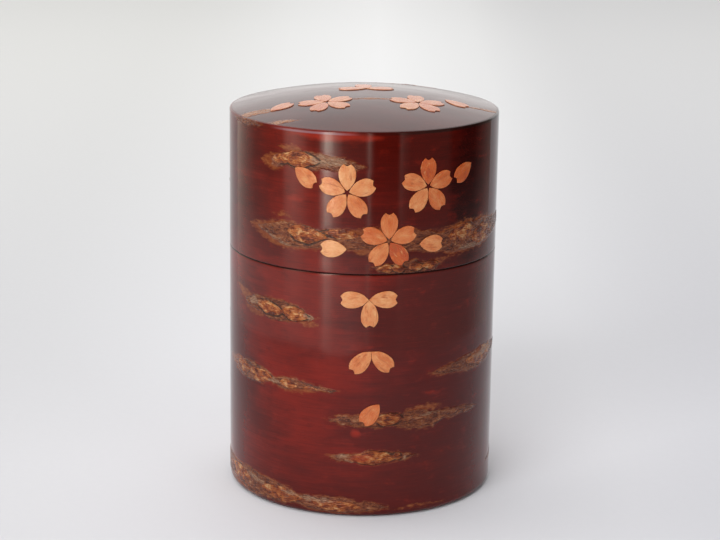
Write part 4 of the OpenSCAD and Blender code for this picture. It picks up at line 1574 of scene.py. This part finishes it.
def make_floor():
    mesh = bpy.data.meshes.new("floor")
    half = FLOOR_SIZE / 2
    corners = [(-half, -half, 0), (half, -half, 0), (half, half, 0), (-half, half, 0)]
    mesh.from_pydata(corners, [], [(0, 1, 2, 3)])
    floor = bpy.data.objects.new("floor", mesh)
    bpy.context.scene.collection.objects.link(floor)
    r = Recipe("white_sweep")
    split = r.tree.nodes.new("ShaderNodeSeparateXYZ")
    r.put(split.inputs[0], r.node("TexCoord", {}, "Object"))
    across = r.step(split.outputs["X"], -SWEEP_REACH, SWEEP_REACH)
    paper = r.noise(r.stretch(r.node("TexCoord", {}, "Object"), (400, 400, 400)), detail=2)
    # Painted light and shade: lighter and darker from left to right, darker towards the front, darkest far
    # in front.
    colour = r.ramp(across, SWEEP_PAINTED_LIGHT)
    colour = r.mix(r.step(split.outputs["Y"], -0.1, 1.0, 0.29, 0.0), colour, FRONT_PAINTED_SHADE)
    colour = r.mix(r.step(split.outputs["Y"], -0.35, -1.0, 0.0, 0.4), colour, FAR_FRONT_PAINTED_SHADE)
    mesh.materials.append(r.finish(Base_Color=colour, Roughness=r.step(paper, 0.3, 0.7, 0.7, 0.9), IOR=1.2))
    return floor


floor = make_floor()
print("floor:", FLOOR_SIZE, "m square")

# %% [markdown]
# ## The room in the polish
#
# Polish is seen by what it mirrors: here a dim room with tall windows in front of the canister. Real
# windows could be lamps, but then their light and shadows would fall on everything. So the room is a
# curved card round the front that only reflections see, as a studio hides its reflectors. Each stop is an
# angle from the front and a brightness, and a second list fades it with the height.

# %% Windows and haze
CARD_REACH = 126
FADE_HIGH = 0.10
BRIGHTEST = 12.5
WINDOWS = [
    (-126, 1.6), (-110, 1.0), (-95, 0.4), (-76, 0.3), (-66, 0.5), (-61, 2.2), (-55, 2.9), (-49, 2.0),
    (-43, 0.7), (-38, 0.4), (-34, 0.8), (-31, 5.5), (-28.5, 12.5), (-25, 9.5), (-22, 4.0), (-19, 2.2),
    (-15, 0.7), (-9, 0.4), (1, 0.4), (3, 1.2), (4, 2.8), (5, 2.0), (7, 0.3), (9, 0.0), (26, 0.0),
    (28.5, 0.9), (31, 0.5), (36, 0.2), (68, 0.2), (74, 0.0), (98, 0.0), (126, 0.3),
]
WINDOW_TINT = (1.0, 0.93, 0.80)
WINDOW_FADES = [(0.0, 0.06), (0.28, 0.22), (0.56, 0.65), (0.80, 1.0)]
HAZES = [(-126, 0.7), (-60, 1.25), (-10, 1.55), (12, 0.75), (60, 0.65), (94, 0.46), (126, 0.7)]
HAZE_TINT = (0.98, 1.0, 1.0)
HAZE_FADES = [(0.0, 1.0), (0.26, 0.95), (0.35, 0.78), (0.50, 0.40), (0.65, 0.15), (0.80, 0.03)]
print("room:", len(WINDOWS), "stops for windows,", len(HAZES), "for haze")

# %% [markdown]
# ## The card itself
#
# The card is a strip of faces, bent round the front of the canister. A picture of a room could be put on
# it, but two ramps along the angle, each faded with the height, say as much and can be tuned one stop at
# a time. The card is then hidden from the camera, from diffuse light and from shadows, so only the polish
# sees it.

# %% Room card
CARD_R = 0.20
CARD_LOW = 0.0005
CARD_HIGH = 0.30
CARD_COLUMNS = 85


def card_mesh():
    turns = np.radians(np.linspace(-CARD_REACH, CARD_REACH, CARD_COLUMNS))
    around = [(CARD_R * math.sin(t), -CARD_R * math.cos(t)) for t in turns]
    points = [(x, y, z) for z in (CARD_LOW, CARD_HIGH) for x, y in around]
    count = len(turns)
    faces = [(i + 1, i, i + count, i + count + 1) for i in range(count - 1)]
    mesh = bpy.data.meshes.new("room_card")
    mesh.from_pydata(points, [], faces)
    return mesh


def room_light():
    """Windows and haze by angle and height, as light that the card gives off."""
    r = Recipe("room_in_the_polish", "Emission")
    turn, height = turn_round_axis(r)
    reach = math.radians(CARD_REACH)
    share = r.node("MapRange", {"Value": turn, "From Min": -reach, "From Max": reach}, "Result")
    up = r.math("DIVIDE", height, FADE_HIGH)

    def lit(glows, fades, tint):
        stops = [
            ((angle + CARD_REACH) / (2 * CARD_REACH), tuple(glow / BRIGHTEST * c for c in tint))
            for angle, glow in glows
        ]
        faded = r.ramp(up, [(z, (fade,) * 3) for z, fade in fades])
        return r.mix(1.0, r.ramp(share, stops), faded, "MULTIPLY")

    room = r.mix(1.0, lit(WINDOWS, WINDOW_FADES, WINDOW_TINT), lit(HAZES, HAZE_FADES, HAZE_TINT), "ADD")
    return r.finish(Color=room, Strength=BRIGHTEST)


card = bpy.data.objects.new("room_card", card_mesh())
bpy.context.scene.collection.objects.link(card)
card.data.materials.append(room_light())
card.visible_camera = False
card.visible_diffuse = False
card.visible_shadow = False
card.visible_transmission = False
print("room card:", len(card.data.polygons), "faces")

# %% [markdown]
# ## The sky of the room
#
# Behind the canister the room is white, and behind the camera it is dark, which gives the bark its bright
# rims and deep middle. A panorama picture would do this too, but one direction is all we need: the
# world's strength grows from dark to bright along it.

# %% World
BRIGHT_BACK = 1.25
DARK_FRONT = 0.04
BRIGHT_SIDE = (-0.22, 0.975, 0.0)
DARK_UNTIL = -0.1
BRIGHT_FROM = 0.5
SKY_TINT = (1.0, 0.99, 0.975, 1)


def make_world():
    world = bpy.data.worlds.new("bright_room")
    bpy.context.scene.world = world
    world.use_nodes = True
    tree = world.node_tree
    background = tree.nodes["Background"]
    place = tree.nodes.new("ShaderNodeTexCoord")
    toward = tree.nodes.new("ShaderNodeVectorMath")
    toward.operation = "DOT_PRODUCT"
    toward.inputs[1].default_value = BRIGHT_SIDE
    tree.links.new(place.outputs["Generated"], toward.inputs[0])
    depth = tree.nodes.new("ShaderNodeMapRange")
    depth.interpolation_type = "SMOOTHSTEP"
    depth.inputs["From Min"].default_value = DARK_UNTIL
    depth.inputs["From Max"].default_value = BRIGHT_FROM
    depth.inputs["To Min"].default_value = DARK_FRONT
    depth.inputs["To Max"].default_value = BRIGHT_BACK
    tree.links.new(toward.outputs["Value"], depth.inputs["Value"])
    tree.links.new(depth.outputs["Result"], background.inputs["Strength"])
    background.inputs["Color"].default_value = SKY_TINT
    return world


world = make_world()
print("world:", world.name)

# %% [markdown]
# ## Soft lights
#
# Daylight comes from the left and from above, with a weak fill from the right. Suns or spots would throw
# hard shadows. Wide round area lights throw the faint, soft ones that a large window does. They are
# hidden from reflections, because the card already shows what the polish mirrors.

# %% Soft lights
SoftLight = namedtuple("SoftLight", "name place target size power")

SOFT_LIGHTS = [
    SoftLight("key_from_left", (-0.60, -1.40, 0.85), (0, 0, 0.06), 1.4, 26.0),
    SoftLight("light_over_sweep", (-0.35, -0.10, 1.9), (-0.1, 0.1, 0), 3.0, 24.0),
    SoftLight("fill_from_right", (1.30, -1.20, 0.45), (0, 0, 0.06), 1.2, 6.5),
]


def make_soft_light(soft):
    data = bpy.data.lights.new(soft.name, "AREA")
    data.shape = "DISK"
    data.size = soft.size
    data.energy = soft.power
    lamp = bpy.data.objects.new(soft.name, data)
    lamp.location = soft.place
    aim = Vector(soft.target) - Vector(soft.place)
    lamp.rotation_euler = aim.to_track_quat("-Z", "Y").to_euler()
    lamp.visible_glossy = False
    bpy.context.scene.collection.objects.link(lamp)
    return lamp


lamps = [make_soft_light(soft) for soft in SOFT_LIGHTS]
bpy.context.scene.view_settings.view_transform = "Standard"
print("soft lights:", len(lamps))

# %% [markdown]
# ## The size of the dressed canister
#
# The dressed canister has to keep to the box of the solids, apart from the thin relief of its bark.
